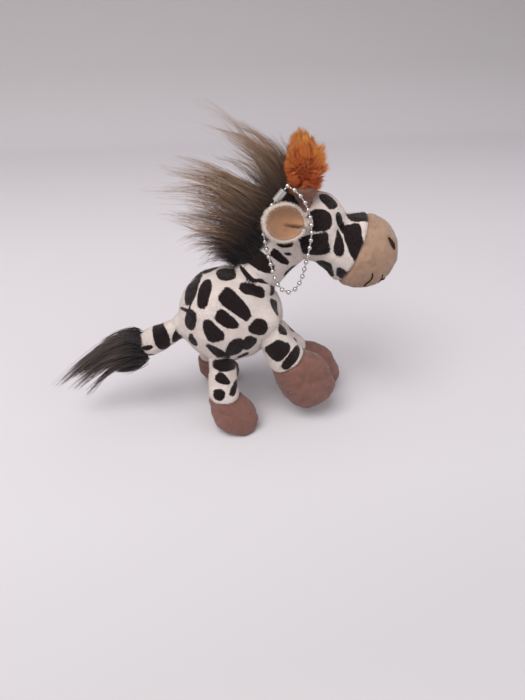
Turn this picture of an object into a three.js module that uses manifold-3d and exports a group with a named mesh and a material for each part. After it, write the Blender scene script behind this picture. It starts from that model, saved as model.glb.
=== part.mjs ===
// A small plush giraffe on a ball chain: sewn covers over stuffing, jointed where they are sewn.
// Millimetres. +X runs to the muzzle, +Y to the giraffe's left, +Z up. The origin is the ribbon's eye.
import * as THREE from "three";
import { mergeVertices } from "three/addons/utils/BufferGeometryUtils.js";
import Module from "manifold-3d";

const wasm = await Module();
wasm.setup();

// Cloth and clearances
const COVER = 1.2; // plush cloth, backing and pile together
const GAP = 0.3; // between two pieces that touch
const ROOM = 0.4; // round a stuffed root in its socket
const SIDES = 14;
const CORE_SIDES = 10; // of the stuffing, which nothing shows

// Torso: an egg whose bigger end is the rump
const TORSO_AT = new THREE.Vector3(-13.6, 0, 57.8);
const TORSO_HALF = new THREE.Vector3(21.9, 18.6, 20.2);
const RUMP_SWELL = 0.08;

// Neck, from the withers into the head
const NECK_AT = new THREE.Vector3(-2.3, 0, 75.2);
const HEAD_PIVOT = new THREE.Vector3(14.6, 0, 91.6);
const NECK_BASE = 9.3;
const NECK_WAIST = 8.3;
const NECK_TOP = 8.9;
const NECK_RANGE = 12;

// Head: a skull and a snout ball that run into each other, turned a little to the right
const HEAD_AT = new THREE.Vector3(21.3, 0, 94.1);
const HEAD_TURN = -12;
const HEAD_RANGE = 18;
const SKULL_HALF = new THREE.Vector3(12.6, 12.3, 13.4);
const SNOUT_AT = new THREE.Vector3(18.7, 0, -10);
const SNOUT = 15;
const JAW_AT = new THREE.Vector3(8.6, 0, -7.2);
const JAW_HALF = new THREE.Vector3(10, 11.6, 10.4);
const SEAM_BACK = 3.6; // the muzzle seam, behind the centre of the snout
const SEAM_PITCH = 22;

// Face
const EYE_AT = new THREE.Vector3(8.4, 7.9, 5.4);
const EYE_HALF = new THREE.Vector3(1.9, 1.9, 3.6);
const NOSTRIL_SPREAD = 37;
const NOSTRIL_RISE = 25;
const NOSTRIL_SPAN = 12;
const MOUTH_DROP = 43;
const MOUTH_SPAN = 46;
const THREAD = 0.45;

// Horns: a stuffed stalk with a tuft of long pile
const HORN_AT = new THREE.Vector3(-4.6, 6.2, 11);
const HORN_LEAN = -7;
const STALK_FOOT = 2.2;
const STALK_TOP = 4.9;
const STALK_TALL = 6;
const TUFT_HALF = new THREE.Vector3(7.6, 5.3, 10.2);

// Ears: a cupped leaf with a lining, on a short root
const EAR_ROOT = new THREE.Vector3(-3.9, 12.7, 5.6);
const EAR_LONG = 8.9;
const EAR_TALL = 7.1;
const EAR_CUP = 2.2;
const EAR_STEM = 2.7;
const EAR_STEM_R = 1.5;
const EAR_OUT = 26; // how far the ear stands out from the head
const EAR_LIFT = 10;

// Legs: each swings at the hip, and its hoof is a cup sewn on at the ankle
const ANKLE = 21;
const SOLE_CUT = 0.5;
const HIP_SWELL = 1.15; // of the root in its socket, over the leg
const FRONT = { r: 6.1, ankle: 7.6, hoof: 9.3, drop: 24, toe: 1.9 };
const REAR = { r: 5.4, ankle: 6.2, hoof: 7.9, drop: 14.8, toe: 3.9 };
const LEGS = [
  { name: "front_right", hip: [-2, -10.4, 58.6], swing: 30, splay: 0.13, ...FRONT },
  { name: "front_left", hip: [2.6, 8.5, 48.4], swing: 37, splay: -0.15, ...FRONT },
  { name: "rear_right", hip: [-19.6, -9.8, 48.2], swing: 0, splay: 0.33, ...REAR },
  { name: "rear_left", hip: [-19.6, 9.8, 48.2], swing: -5.5, splay: 0.24, ...REAR },
];
const LEG_RANGE = 20;

// Tail
const TAIL_AT = new THREE.Vector3(-33.4, 0, 54);
const TAIL_DROOP = 24;
const TAIL_LONG = 20.6;
const TAIL_BALL = 5.5;
const TAIL_WAIST = 4.7;
const TAIL_END = 5.6;
const TAIL_RANGE = 18;

// Ball chain, hooked over the right ear
const BEAD = 1;
const WIRE = 0.36;
const PITCH = 2.9;
const CONNECTOR_R = 1.55;
const CONNECTOR_WALL = 0.3;
const CONNECTOR_MOUTH = 0.8;
const CONNECTOR_LONG = 4.8;
const CONNECTOR_AT = new THREE.Vector3(4.3, -11.2, 110.4);
const CONNECTOR_TILT = 50;
const CHAIN_ROUTE = [
  [9.4, -12.2, 112.4], [12.6, -13.5, 109], [14.8, -14.2, 104], [15.9, -14.5, 97.4],
  [15.4, -14.6, 91], [14.2, -14.8, 85], [12.6, -15.2, 78.6], [10, -15.3, 74.4],
  [7, -15.3, 73.6], [3.8, -15.1, 76.4], [1.7, -14.6, 81.4], [0.4, -13.6, 86.5],
  [-0.8, -12.2, 92], [-1.8, -11.4, 98], [-1.6, -11.1, 103.2],
];

// Ribbon loop, sewn in at the crown
const RIBBON_BEAD = 5; // the bead that the eye goes round, behind the ear, from the chain's last bead
const RIBBON_EYE = 1.7;
const RIBBON_THICK = 0.55;
const RIBBON_WIDE = 1.6;
const RIBBON_ROOT = new THREE.Vector3(-8.8, -7.4, 5);

const COLOURS = {
  plush: [0xd8ccc4, 0.95, 0],
  muzzle: [0xb08f78, 0.95, 0],
  hoof: [0x805b53, 0.95, 0],
  lining: [0xa8794f, 0.95, 0],
  mane: [0x3c2e26, 0.8, 0],
  tuft: [0xa5683c, 0.9, 0],
  stalk: [0x603e36, 0.95, 0],
  stuffing: [0xf0eeea, 1, 0],
  thread: [0x2a1c18, 0.7, 0],
  eye: [0x0c0c0f, 0.1, 0],
  ribbon: [0x3a2a22, 0.6, 0],
  steel: [0xb8b8b8, 0.25, 1],
};

// Solids: a three.js geometry in, a solid for joining and cutting out, and back
function solidOf(geometry) {
  const bare = geometry.index ? geometry.toNonIndexed() : geometry.clone();
  bare.deleteAttribute("normal");
  bare.deleteAttribute("uv");
  const merged = mergeVertices(bare, 1e-4);
  const triVerts = new Uint32Array(merged.index.array);
  const mesh = { numProp: 3, vertProperties: merged.attributes.position.array, triVerts };
  const made = new wasm.Manifold(new wasm.Mesh(mesh));
  if (made.volume() > 0) return made;
  for (let i = 0; i < triVerts.length; i += 3) triVerts.subarray(i, i + 3).reverse();
  return new wasm.Manifold(new wasm.Mesh(mesh));
}

function geometryOf(solid) {
  const mesh = solid.getMesh();
  const geometry = new THREE.BufferGeometry();
  geometry.setAttribute("position", new THREE.BufferAttribute(mesh.vertProperties, 3));
  geometry.setIndex(new THREE.BufferAttribute(mesh.triVerts, 1));
  geometry.computeVertexNormals();
  return geometry;
}

function cut(solid, ...tools) {
  return tools.reduce((left, tool) => left.subtract(tool), solid);
}

function join(...solids) {
  return solids.reduce((left, right) => left.add(right));
}

function moved(geometry, matrix) {
  return solidOf(geometry.clone().applyMatrix4(matrix));
}

function placed(x, y, z) {
  return new THREE.Matrix4().makeTranslation(x, y, z);
}

const radians = THREE.MathUtils.degToRad;
const point = (list) => new THREE.Vector3(...list);

// Shapes
function egg(half, swell = 0, sides = SIDES, rings = 11) {
  const geometry = new THREE.SphereGeometry(1, sides, rings).rotateZ(-Math.PI / 2);
  const at = geometry.attributes.position;
  for (let i = 0; i < at.count; i++) {
    const fat = 1 - swell * at.getX(i);
    at.setXYZ(i, at.getX(i) * half.x, at.getY(i) * half.y * fat, at.getZ(i) * half.z * fat);
  }
  return geometry;
}

function ball(radius, centre, sides = 16) {
  return solidOf(new THREE.SphereGeometry(radius, sides, Math.round(sides * 0.6)).translate(...centre));
}

// A form turned about Z from a list of [radius, height], with its rings shifted and stretched by warp
function turned(profile, warp = null, sides = SIDES) {
  const points = profile.map(([r, h]) => new THREE.Vector2(Math.max(r, 0), h));
  const geometry = new THREE.LatheGeometry(points, sides).rotateX(Math.PI / 2);
  if (!warp) return geometry;
  const at = geometry.attributes.position;
  for (let i = 0; i < at.count; i++) {
    const w = warp(at.getZ(i));
    at.setXYZ(i, at.getX(i) * w.wide + w.x, at.getY(i) * w.deep + w.y, at.getZ(i));
  }
  return geometry;
}

// A profile that runs down from a root, moved inwards by a thickness, square to its own line
function inset(profile, by) {
  return profile.map(([r, h], i) => {
    if (r === 0) return [0, h + by];
    const [r0, h0] = profile[Math.max(i - 1, 0)];
    const [r1, h1] = profile[Math.min(i + 1, profile.length - 1)];
    const long = Math.hypot(r1 - r0, h1 - h0);
    return [r + ((h1 - h0) / long) * by, h - ((r1 - r0) / long) * by];
  });
}

// A sleeve of cloth is the profile and its inset, closed into a loop, and a cup starts and ends on the axis
function sleeve(profile) {
  const inner = inset(profile, COVER);
  if (profile.at(-1)[0] === 0) return [...profile.toReversed(), ...inner];
  return [...profile, ...inner.reverse(), profile[0]];
}

function stuffed(profile) {
  const core = inset(profile, COVER + GAP);
  const first = core[0];
  const body = [[0, first[1]], ...core];
  return core.at(-1)[0] === 0 ? body : [...body, [0, core.at(-1)[1]]];
}

// A slab of hair: columns from a root line to the tips, thick at the root and thin at the tips
function fan(roots, tips, rootHalf, tipHalf, bow) {
  const steps = 5;
  const columns = tips.length;
  const positions = [];
  const index = [];
  for (let i = 0; i < columns; i++) {
    const root = roots.getPoint(i / (columns - 1));
    for (const side of [1, -1]) {
      for (let j = 0; j <= steps; j++) {
        const t = j / steps;
        const at = root.clone().lerp(tips[i], t);
        at.z += bow * Math.sin(Math.PI * t);
        at.y += side * (tipHalf + (rootHalf - tipHalf) * (1 - t) ** 0.7);
        positions.push(at.x, at.y, at.z);
      }
    }
  }
  const row = steps + 1;
  const at = (i, side, j) => (2 * i + side) * row + j;
  const quad = (a, b, c, d) => index.push(a, b, c, a, c, d);
  for (let i = 0; i < columns - 1; i++) {
    for (let j = 0; j < steps; j++) {
      quad(at(i, 0, j), at(i, 0, j + 1), at(i + 1, 0, j + 1), at(i + 1, 0, j));
      quad(at(i, 1, j), at(i + 1, 1, j), at(i + 1, 1, j + 1), at(i, 1, j + 1));
    }
    quad(at(i, 0, 0), at(i + 1, 0, 0), at(i + 1, 1, 0), at(i, 1, 0));
    quad(at(i, 0, steps), at(i, 1, steps), at(i + 1, 1, steps), at(i + 1, 0, steps));
  }
  for (const i of [0, columns - 1]) {
    for (let j = 0; j < steps; j++) {
      const ends = [at(i, 0, j), at(i, 1, j), at(i, 1, j + 1), at(i, 0, j + 1)];
      quad(...(i ? ends.reverse() : ends));
    }
  }
  const geometry = new THREE.BufferGeometry();
  geometry.setAttribute("position", new THREE.Float32BufferAttribute(positions, 3));
  geometry.setIndex(index);
  return geometry;
}

// A round bar through a list of points
function bar(points, radius, sides = 8) {
  const curve = new THREE.CatmullRomCurve3(points);
  const section = new THREE.Shape().absarc(0, 0, radius, 0, 2 * Math.PI);
  const steps = Math.max(2, points.length * 2);
  return new THREE.ExtrudeGeometry(section, {
    extrudePath: curve,
    steps,
    curveSegments: sides,
    bevelEnabled: false,
  });
}

// The group that everything hangs in, and how a piece joins it
const giraffe = new THREE.Group();

function piece(parent, name, finish, shape) {
  const [color, roughness, metalness] = COLOURS[finish];
  const material = new THREE.MeshStandardMaterial({ color, roughness, metalness });
  const geometry = geometryOf(shape.isBufferGeometry ? solidOf(shape) : shape);
  const mesh = new THREE.Mesh(geometry, material);
  mesh.name = name;
  parent.add(mesh);
  return mesh;
}

// Legs
function legWarp(leg, side) {
  return (h) => {
    const down = Math.max(0, -h);
    const foot = THREE.MathUtils.smoothstep(-h, ANKLE - 1, ANKLE + 0.45 * leg.drop);
    return {
      x: leg.toe * foot,
      y: side * leg.splay * down,
      wide: 1 + 0.26 * foot,
      deep: 1 - 0.13 * foot,
    };
  };
}

function legProfile(leg) {
  const root = leg.r * HIP_SWELL;
  const rounding = [62, 36, 8, -16, -31].map(
    (a) => [root * Math.cos(radians(a)), root * Math.sin(radians(a))],
  );
  const shaft = [
    [leg.r, -0.36 * ANKLE], [(leg.r + leg.ankle) / 2, -0.68 * ANKLE],
    [leg.ankle, -ANKLE + GAP / 2],
  ];
  return [...rounding, ...shaft];
}

function hoofProfile(leg) {
  const top = -ANKLE - GAP / 2;
  const shares = [[0.92, 0.12], [1, 0.36], [0.98, 0.64], [0.87, 0.86], [0.68, 0.97]];
  const side = shares.map(([wide, down]) => [leg.hoof * wide, top - leg.drop * down]);
  const sole = top - leg.drop - SOLE_CUT;
  return [[leg.ankle, top], ...side, [leg.hoof * 0.52, sole], [0, sole]];
}

function legFrame(leg) {
  const turn = new THREE.Matrix4().makeRotationY(radians(-leg.swing));
  return placed(...leg.hip).multiply(turn);
}

// The room that a root needs to swing: its ball, and a flare that opens the way it swings
function swingRoom(radius, shaft, reach, range, frame, warp) {
  const flare = (h) => 1 + (-h * Math.tan(radians(range))) / (shaft + ROOM);
  const sweep = (h) => {
    const w = warp(h);
    return { ...w, wide: flare(h) };
  };
  const cone = [[0, 0], [shaft + ROOM, 0], [shaft + ROOM, -reach], [0, -reach]];
  const socket = new THREE.SphereGeometry(radius + ROOM, 12, 8);
  return join(moved(socket, frame), moved(turned(cone, sweep, 12), frame));
}

function buildLeg(leg) {
  const side = Math.sign(leg.hip[1]);
  const warp = legWarp(leg, side);
  const group = new THREE.Group();
  group.applyMatrix4(legFrame(leg));
  giraffe.add(group);
  const hoof = hoofProfile(leg);
  const cover = legProfile(leg);
  piece(group, leg.name + "_leg_cover", "plush", turned(sleeve(cover), warp));
  piece(group, leg.name + "_hoof", "hoof", turned(sleeve(hoof), warp));
  const core = turned(stuffed([...cover, ...hoof]), warp, CORE_SIDES);
  piece(group, leg.name + "_leg_stuffing", "stuffing", core);
}

function legRoom(leg) {
  const warp = legWarp(leg, Math.sign(leg.hip[1]));
  return swingRoom(leg.r * HIP_SWELL, leg.r * 1.12, 15, LEG_RANGE, legFrame(leg), warp);
}

// Neck
const neckAxis = HEAD_PIVOT.clone().sub(NECK_AT);
const neckLong = neckAxis.length();
neckAxis.normalize();

function neckFrame() {
  const turn = new THREE.Quaternion().setFromUnitVectors(new THREE.Vector3(0, 0, 1), neckAxis);
  return new THREE.Matrix4().compose(NECK_AT, turn, new THREE.Vector3(1, 1, 1));
}

function neckProfile(grow = 0) {
  const arc = (radius, at, angles) =>
    angles.map((a) => [(radius + grow) * Math.cos(radians(a)), at + (radius + grow) * Math.sin(radians(a))]);
  const top = arc(NECK_TOP, neckLong, [64, 40, 16, -8]);
  const base = arc(NECK_BASE, 0, [26, 4, -18, -42, -66]);
  return [...top, [NECK_WAIST + grow, neckLong * 0.46], ...base];
}

function neckSolid(grow) {
  const profile = neckProfile(grow);
  const closed = [[0, profile[0][1] + 0.6], ...profile, [0, profile.at(-1)[1] - 0.6]];
  return moved(turned(closed), neckFrame());
}

function neckRoom() {
  const base = new THREE.SphereGeometry(NECK_BASE + ROOM, SIDES, 9);
  const open = NECK_BASE + ROOM + 9 * Math.tan(radians(NECK_RANGE));
  const flare = turned([[0, 0], [NECK_BASE, 0], [open, 12], [0, 12]], null, 14);
  return join(moved(base, neckFrame()), moved(flare, neckFrame()));
}

function buildNeck() {
  const group = new THREE.Group();
  group.applyMatrix4(neckFrame());
  giraffe.add(group);
  piece(group, "neck_cover", "plush", turned(sleeve(neckProfile())));
  piece(group, "neck_stuffing", "stuffing", turned(stuffed(neckProfile()), null, CORE_SIDES));
}

// Torso
function tailFrame() {
  const turn = new THREE.Matrix4().makeRotationY(radians(90 - TAIL_DROOP));
  return placed(...TAIL_AT).multiply(turn);
}

function tailRoom() {
  const upright = new THREE.Matrix4().makeRotationZ(Math.PI / 2);
  const still = () => ({ x: 0, y: 0, wide: 1, deep: 1 });
  const frame = tailFrame().multiply(upright);
  return swingRoom(TAIL_BALL, TAIL_BALL * 0.95, 9, TAIL_RANGE, frame, still);
}

function torsoSolid(inwards) {
  const half = TORSO_HALF.clone().subScalar(inwards);
  return moved(egg(half, RUMP_SWELL, 18, 12), placed(...TORSO_AT));
}

function buildTorso() {
  const rooms = [...LEGS.map(legRoom), neckRoom(), tailRoom()];
  const cover = cut(torsoSolid(0), torsoSolid(COVER), ...rooms);
  piece(giraffe, "torso_cover", "plush", cover);
  piece(giraffe, "torso_stuffing", "stuffing", cut(torsoSolid(COVER + GAP), ...rooms));
}

// Tail: hangs from the rump, with a tuft of hair on its end
function buildTail() {
  const rounding = [60, 34, 8, -16, -32].map((a) => [
    TAIL_BALL * Math.cos(radians(a)),
    TAIL_BALL * Math.sin(radians(a)),
  ]);
  const shaft = [[TAIL_WAIST + 0.2, -0.4 * TAIL_LONG], [TAIL_END, -0.75 * TAIL_LONG]];
  const end = [[TAIL_END * 0.9, -0.92 * TAIL_LONG], [TAIL_END * 0.5, -TAIL_LONG], [0, -TAIL_LONG - 0.3]];
  const profile = [...rounding, ...shaft, ...end];
  const group = new THREE.Group();
  group.applyMatrix4(tailFrame());
  giraffe.add(group);
  piece(group, "tail_cover", "plush", turned(sleeve(profile)));
  piece(group, "tail_stuffing", "stuffing", turned(stuffed(profile), null, CORE_SIDES));
  const grown = inset(profile, -GAP);
  const skin = moved(turned([[0, 0], [grown[0][0], 0], ...grown.slice(3)]), tailFrame());
  const roots = new THREE.LineCurve3(point([-49.4, 0, 52]), point([-54, 0, 40.6]));
  const tips = [
    [-63, 0, 52], [-76, 0, 43], [-88.3, 0, 30.6], [-79, 0, 29.4], [-80.3, 0, 21.4], [-62, 0, 35],
  ].map(point);
  piece(giraffe, "tail_tuft", "mane", cut(solidOf(fan(roots, tips, 4.2, 0.5, 1)), skin));
}

// Head
function headFrame() {
  return placed(...HEAD_AT).multiply(new THREE.Matrix4().makeRotationZ(radians(HEAD_TURN)));
}

function headSolid(grow) {
  const skull = solidOf(egg(SKULL_HALF.clone().addScalar(grow)));
  const jaw = solidOf(egg(JAW_HALF.clone().addScalar(grow), 0, 14, 9).translate(...JAW_AT));
  return join(skull, jaw, ball(SNOUT + grow, SNOUT_AT.toArray()));
}

// Everything ahead of the muzzle seam, less a gap
function aheadOfSeam(gap) {
  const long = 60;
  const back = gap - SEAM_BACK;
  const box = new THREE.BoxGeometry(long, long, long).translate(back + long / 2, 0, 0);
  const turn = new THREE.Matrix4().makeRotationY(radians(SEAM_PITCH));
  return moved(box, placed(...SNOUT_AT).multiply(turn));
}

function inHead(geometry) {
  return solidOf(geometry.clone().applyMatrix4(headFrame().invert()));
}

function headRoom() {
  const socket = new THREE.SphereGeometry(NECK_TOP + ROOM, SIDES, 10).translate(...HEAD_PIVOT);
  const shaft = turned([[0, -neckLong], [NECK_TOP + ROOM, -neckLong], [NECK_TOP + ROOM, 0], [0, 0]]);
  const turn = new THREE.Quaternion().setFromUnitVectors(new THREE.Vector3(0, 0, 1), neckAxis);
  shaft.applyQuaternion(turn).translate(...HEAD_PIVOT);
  return join(inHead(socket), inHead(shaft));
}

function onSnout(yaw, pitch, out) {
  const way = new THREE.Vector3(1, 0, 0);
  way.applyAxisAngle(new THREE.Vector3(0, 1, 0), radians(pitch));
  way.applyAxisAngle(new THREE.Vector3(0, 0, 1), radians(yaw));
  return way.multiplyScalar(SNOUT + out).add(SNOUT_AT);
}

function buildFace(group) {
  const out = THREAD + GAP;
  const skin = headSolid(GAP);
  for (const [name, side] of [["right", -1], ["left", 1]]) {
    const eye = new THREE.SphereGeometry(1, 12, 8).scale(...EYE_HALF);
    eye.translate(EYE_AT.x, side * EYE_AT.y, EYE_AT.z);
    piece(group, "eye_" + name, "eye", cut(solidOf(eye), skin));
    const slit = [-0.5, 0, 0.5].map(
      (k) => onSnout(side * NOSTRIL_SPREAD, -NOSTRIL_RISE + k * NOSTRIL_SPAN, out),
    );
    piece(group, "nostril_stitches_" + name, "thread", bar(slit, THREAD, 6));
  }
  const smile = [-1, -0.7, -0.35, 0, 0.35, 0.7, 1].map((k) =>
    onSnout(k * MOUTH_SPAN, MOUTH_DROP - 8 * k * k, out),
  );
  piece(group, "mouth_stitches", "thread", bar(smile, THREAD, 6));
}

// Horns
function tuftSolid(grow, frame) {
  const tuft = egg(TUFT_HALF.clone().addScalar(grow), 0, 14, 10);
  return moved(tuft.translate(0, 0, STALK_TALL + TUFT_HALF.z - 1.6), frame);
}

function hornFrame(side) {
  const stand = new THREE.Matrix4().makeRotationY(radians(HORN_LEAN));
  return placed(HORN_AT.x, side * HORN_AT.y, HORN_AT.z).multiply(stand);
}

function stalkSolid(grow, frame) {
  const foot = [STALK_FOOT + grow, 0];
  const top = [STALK_TOP + grow, STALK_TALL + grow];
  const profile = [[0, -6], [STALK_FOOT + grow, -6], foot, top, [0, STALK_TALL + grow]];
  return moved(turned(profile, null, 12), frame);
}

function buildHorns(group) {
  const skin = headSolid(GAP);
  for (const [name, side] of [["right", -1], ["left", 1]]) {
    const frame = hornFrame(side);
    piece(group, "horn_stalk_" + name, "stalk", cut(stalkSolid(0, frame), skin));
    piece(group, "horn_tuft_" + name, "tuft", cut(tuftSolid(0, frame), stalkSolid(GAP, frame), skin));
  }
}

// Ear: X runs out along the leaf, Z is the side that its lining faces, and the root is at the origin
function earFrame(side) {
  const out = new THREE.Vector3(-Math.cos(radians(EAR_OUT)), side * Math.sin(radians(EAR_OUT)), 0);
  out.applyAxisAngle(new THREE.Vector3(0, 1, 0), radians(EAR_LIFT));
  const up = new THREE.Vector3(0.133, -side * 0.31, 0.935);
  const facing = new THREE.Vector3().crossVectors(up, out).multiplyScalar(-side).normalize();
  const across = new THREE.Vector3().crossVectors(facing, out);
  const turn = new THREE.Matrix4().makeBasis(out, across, facing);
  return placed(EAR_ROOT.x, side * EAR_ROOT.y, EAR_ROOT.z).multiply(turn);
}

function buildEars(group) {
  const rim = EAR_LONG;
  const shell = [
    [0, -EAR_CUP], [0.55 * rim, -0.8 * EAR_CUP], [0.93 * rim, -0.2], [rim, 0.8],
    [0.86 * rim, 1],
  ];
  const hollow = [[0.72 * rim, 0.3], [0.4 * rim, -0.5], [0, -0.8]];
  const lining = [
    [0, -0.8 + GAP], [0.4 * rim, -0.5 + GAP], [0.7 * rim, 0.3 + GAP], [0.66 * rim, 0.9],
    [0, 0.4],
  ];
  const centre = EAR_STEM + EAR_LONG * 0.94;
  const tall = EAR_TALL / EAR_LONG;
  for (const [name, side] of [["right", -1], ["left", 1]]) {
    const leaf = turned([...shell, ...hollow], null, 16).scale(1, tall, 1).translate(centre, 0, 0);
    const inner = turned(lining, null, 16).scale(1, tall, 1).translate(centre, 0, 0);
    const stem = new THREE.CapsuleGeometry(EAR_STEM_R, EAR_STEM, 3, 10).rotateZ(-Math.PI / 2);
    stem.translate(EAR_STEM / 2, 0, 0);
    const clear = turned([[0, -0.3], [0.78 * rim, 0.1], [0.78 * rim, 3], [0, 3]], null, 16);
    clear.scale(1, tall, 1).translate(centre, 0, 0);
    const outer = join(solidOf(leaf), cut(solidOf(stem), solidOf(clear)));
    const frame = earFrame(side);
    piece(group, "ear_" + name, "plush", moved(geometryOf(outer), frame));
    piece(group, "ear_lining_" + name, "lining", moved(inner, frame));
  }
}

function buildHead() {
  const group = new THREE.Group();
  group.applyMatrix4(headFrame());
  giraffe.add(group);
  const shell = cut(headSolid(0), headSolid(-COVER), headRoom());
  piece(group, "head_cover", "plush", cut(shell, aheadOfSeam(-GAP / 2)));
  piece(group, "muzzle_cover", "muzzle", shell.intersect(aheadOfSeam(GAP / 2)));
  piece(group, "head_stuffing", "stuffing", cut(headSolid(-COVER - GAP), headRoom()));
  buildFace(group);
  buildHorns(group);
  buildEars(group);
}

// Mane: long hair in the seam down the back of the head and neck, in two tufts that part at the neck's top
function buildMane() {
  const head = moved(geometryOf(headSolid(GAP)), headFrame());
  const neck = neckSolid(GAP);
  const turnedHead = [-HEAD_RANGE, HEAD_RANGE].map((a) => {
    const turn = new THREE.Matrix4().makeRotationAxis(neckAxis, radians(a));
    const about = placed(...HEAD_PIVOT).multiply(turn).multiply(placed(...HEAD_PIVOT.clone().negate()));
    return moved(geometryOf(headSolid(GAP)), about.multiply(headFrame()));
  });
  const crown = new THREE.CatmullRomCurve3([[13.6, 0, 103.6], [9.6, 0, 99.6], [6.6, 0, 98.2]].map(point));
  const horns = [-1, 1].flatMap((side) => {
    const frame = headFrame().multiply(hornFrame(side));
    return [stalkSolid(GAP, frame), tuftSolid(GAP, frame)];
  });
  const crownTips = [
    [6.8, 0, 122], [0, 0, 126], [-9, 0, 130.5], [-23.6, 0, 134], [-14.6, 0, 120.6],
  ].map(point);
  const crownLocks = solidOf(fan(crown, crownTips, 2.7, 0.6, 1.5));
  piece(giraffe, "mane_crown", "mane", cut(crownLocks, head, neck, ...horns));
  const back = new THREE.CatmullRomCurve3([
    [6.4, 0, 95.4], [-0.6, 0, 91], [-6, 0, 86.4], [-9.4, 0, 82.4],
  ].map(point));
  const backTips = [
    [-18, 0, 119], [-38.5, 0, 122], [-30, 0, 115.5], [-40.4, 0, 113], [-31, 0, 107],
    [-42.9, 0, 98.5], [-29, 0, 95.5], [-31, 0, 89.5], [-24, 0, 82.6],
  ].map(point);
  const neckLocks = solidOf(fan(back, backTips, 3.2, 0.6, 1.5));
  piece(giraffe, "mane_neck", "mane", cut(neckLocks, head, neck, ...turnedHead));
}

// Ball chain: hollow beads threaded on short wires, its two end beads held in a slit tube
function chainRoute() {
  const way = new THREE.Vector3(Math.cos(radians(CONNECTOR_TILT)), 0, Math.sin(radians(CONNECTOR_TILT)));
  const step = (k) => CONNECTOR_AT.clone().addScaledVector(way, k * PITCH);
  return [step(0.5), step(1.5), ...CHAIN_ROUTE.map(point), step(-1.5), step(-0.5)];
}

// The wire between two beads
function link(from, to) {
  const along = to.clone().sub(from);
  const wire = new THREE.CylinderGeometry(WIRE, WIRE, along.length(), 4);
  const turn = new THREE.Quaternion().setFromUnitVectors(new THREE.Vector3(0, 1, 0), along.normalize());
  return solidOf(wire.applyQuaternion(turn).translate(...from.clone().lerp(to, 0.5)));
}

function buildChain() {
  const route = new THREE.CatmullRomCurve3(chainRoute());
  route.arcLengthDivisions = 800;
  const links = Math.round(route.getLength() / PITCH);
  const beads = route.getSpacedPoints(links);
  let chain = null;
  beads.forEach((at, i) => {
    const bead = solidOf(new THREE.SphereGeometry(BEAD, 6, 4).rotateX(Math.PI / 2).translate(...at));
    chain = chain ? chain.add(bead) : bead;
    if (i) chain = chain.add(link(beads[i - 1], at));
  });
  piece(giraffe, "ball_chain", "steel", chain);
  const half = CONNECTOR_LONG / 2;
  const inner = CONNECTOR_R - CONNECTOR_WALL;
  const tube = [
    [CONNECTOR_R, -half], [CONNECTOR_R, half],
    [CONNECTOR_MOUTH, half], [CONNECTOR_MOUTH, half - CONNECTOR_WALL],
    [inner, half - 2 * CONNECTOR_WALL], [inner, 2 * CONNECTOR_WALL - half],
    [CONNECTOR_MOUTH, CONNECTOR_WALL - half], [CONNECTOR_MOUTH, -half], [CONNECTOR_R, -half],
  ];
  const slit = new THREE.BoxGeometry(2 * CONNECTOR_R, 2 * CONNECTOR_MOUTH * 0.6, CONNECTOR_LONG + 1);
  slit.translate(CONNECTOR_R, 0, 0);
  const clasp = cut(solidOf(turned(tube, null, 14)), solidOf(slit));
  const turn = new THREE.Matrix4().makeRotationY(radians(90 - CONNECTOR_TILT));
  const seated = placed(...CONNECTOR_AT).multiply(turn);
  piece(giraffe, "chain_connector", "steel", moved(geometryOf(clasp), seated));
  return beads;
}

// Ribbon: a loop round the chain whose two ends are sewn in at the crown
function buildRibbon(eye, way) {
  const root = RIBBON_ROOT.clone().applyMatrix4(headFrame());
  const down = root.clone().sub(eye);
  const long = down.length();
  down.normalize();
  const along = way.clone().projectOnPlane(down).normalize();
  const across = new THREE.Vector3().crossVectors(along, down);
  const frame = new THREE.Matrix4().makeBasis(down, across, along).setPosition(eye);
  const outer = RIBBON_EYE + RIBBON_THICK;
  const shape = new THREE.Shape();
  const mouth = Math.asin(RIBBON_THICK / outer);
  shape.absarc(0, 0, outer, mouth, 2 * Math.PI - mouth, false);
  shape.lineTo(long + 2, -RIBBON_THICK);
  shape.lineTo(long + 2, RIBBON_THICK);
  const hole = new THREE.Path().absarc(0, 0, RIBBON_EYE, 0, 2 * Math.PI, true);
  shape.holes.push(hole);
  const strip = new THREE.ExtrudeGeometry(
    shape, { depth: RIBBON_WIDE, curveSegments: 16, bevelEnabled: false },
  );
  strip.translate(0, 0, -RIBBON_WIDE / 2);
  const head = moved(geometryOf(headSolid(GAP)), headFrame());
  piece(giraffe, "hang_ribbon", "ribbon", cut(moved(strip, frame), head));
}

LEGS.forEach(buildLeg);
buildTorso();
buildNeck();
buildHead();
buildTail();
buildMane();
const beads = buildChain();
const eye = beads.at(-RIBBON_BEAD);
buildRibbon(eye, beads.at(1 - RIBBON_BEAD).clone().sub(beads.at(-1 - RIBBON_BEAD)));
giraffe.position.copy(eye).negate();

export default giraffe;
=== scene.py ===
# A small plush giraffe on a loop of ball chain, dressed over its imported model.
import math

import bpy
import numpy as np
from mathutils import Matrix


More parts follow.
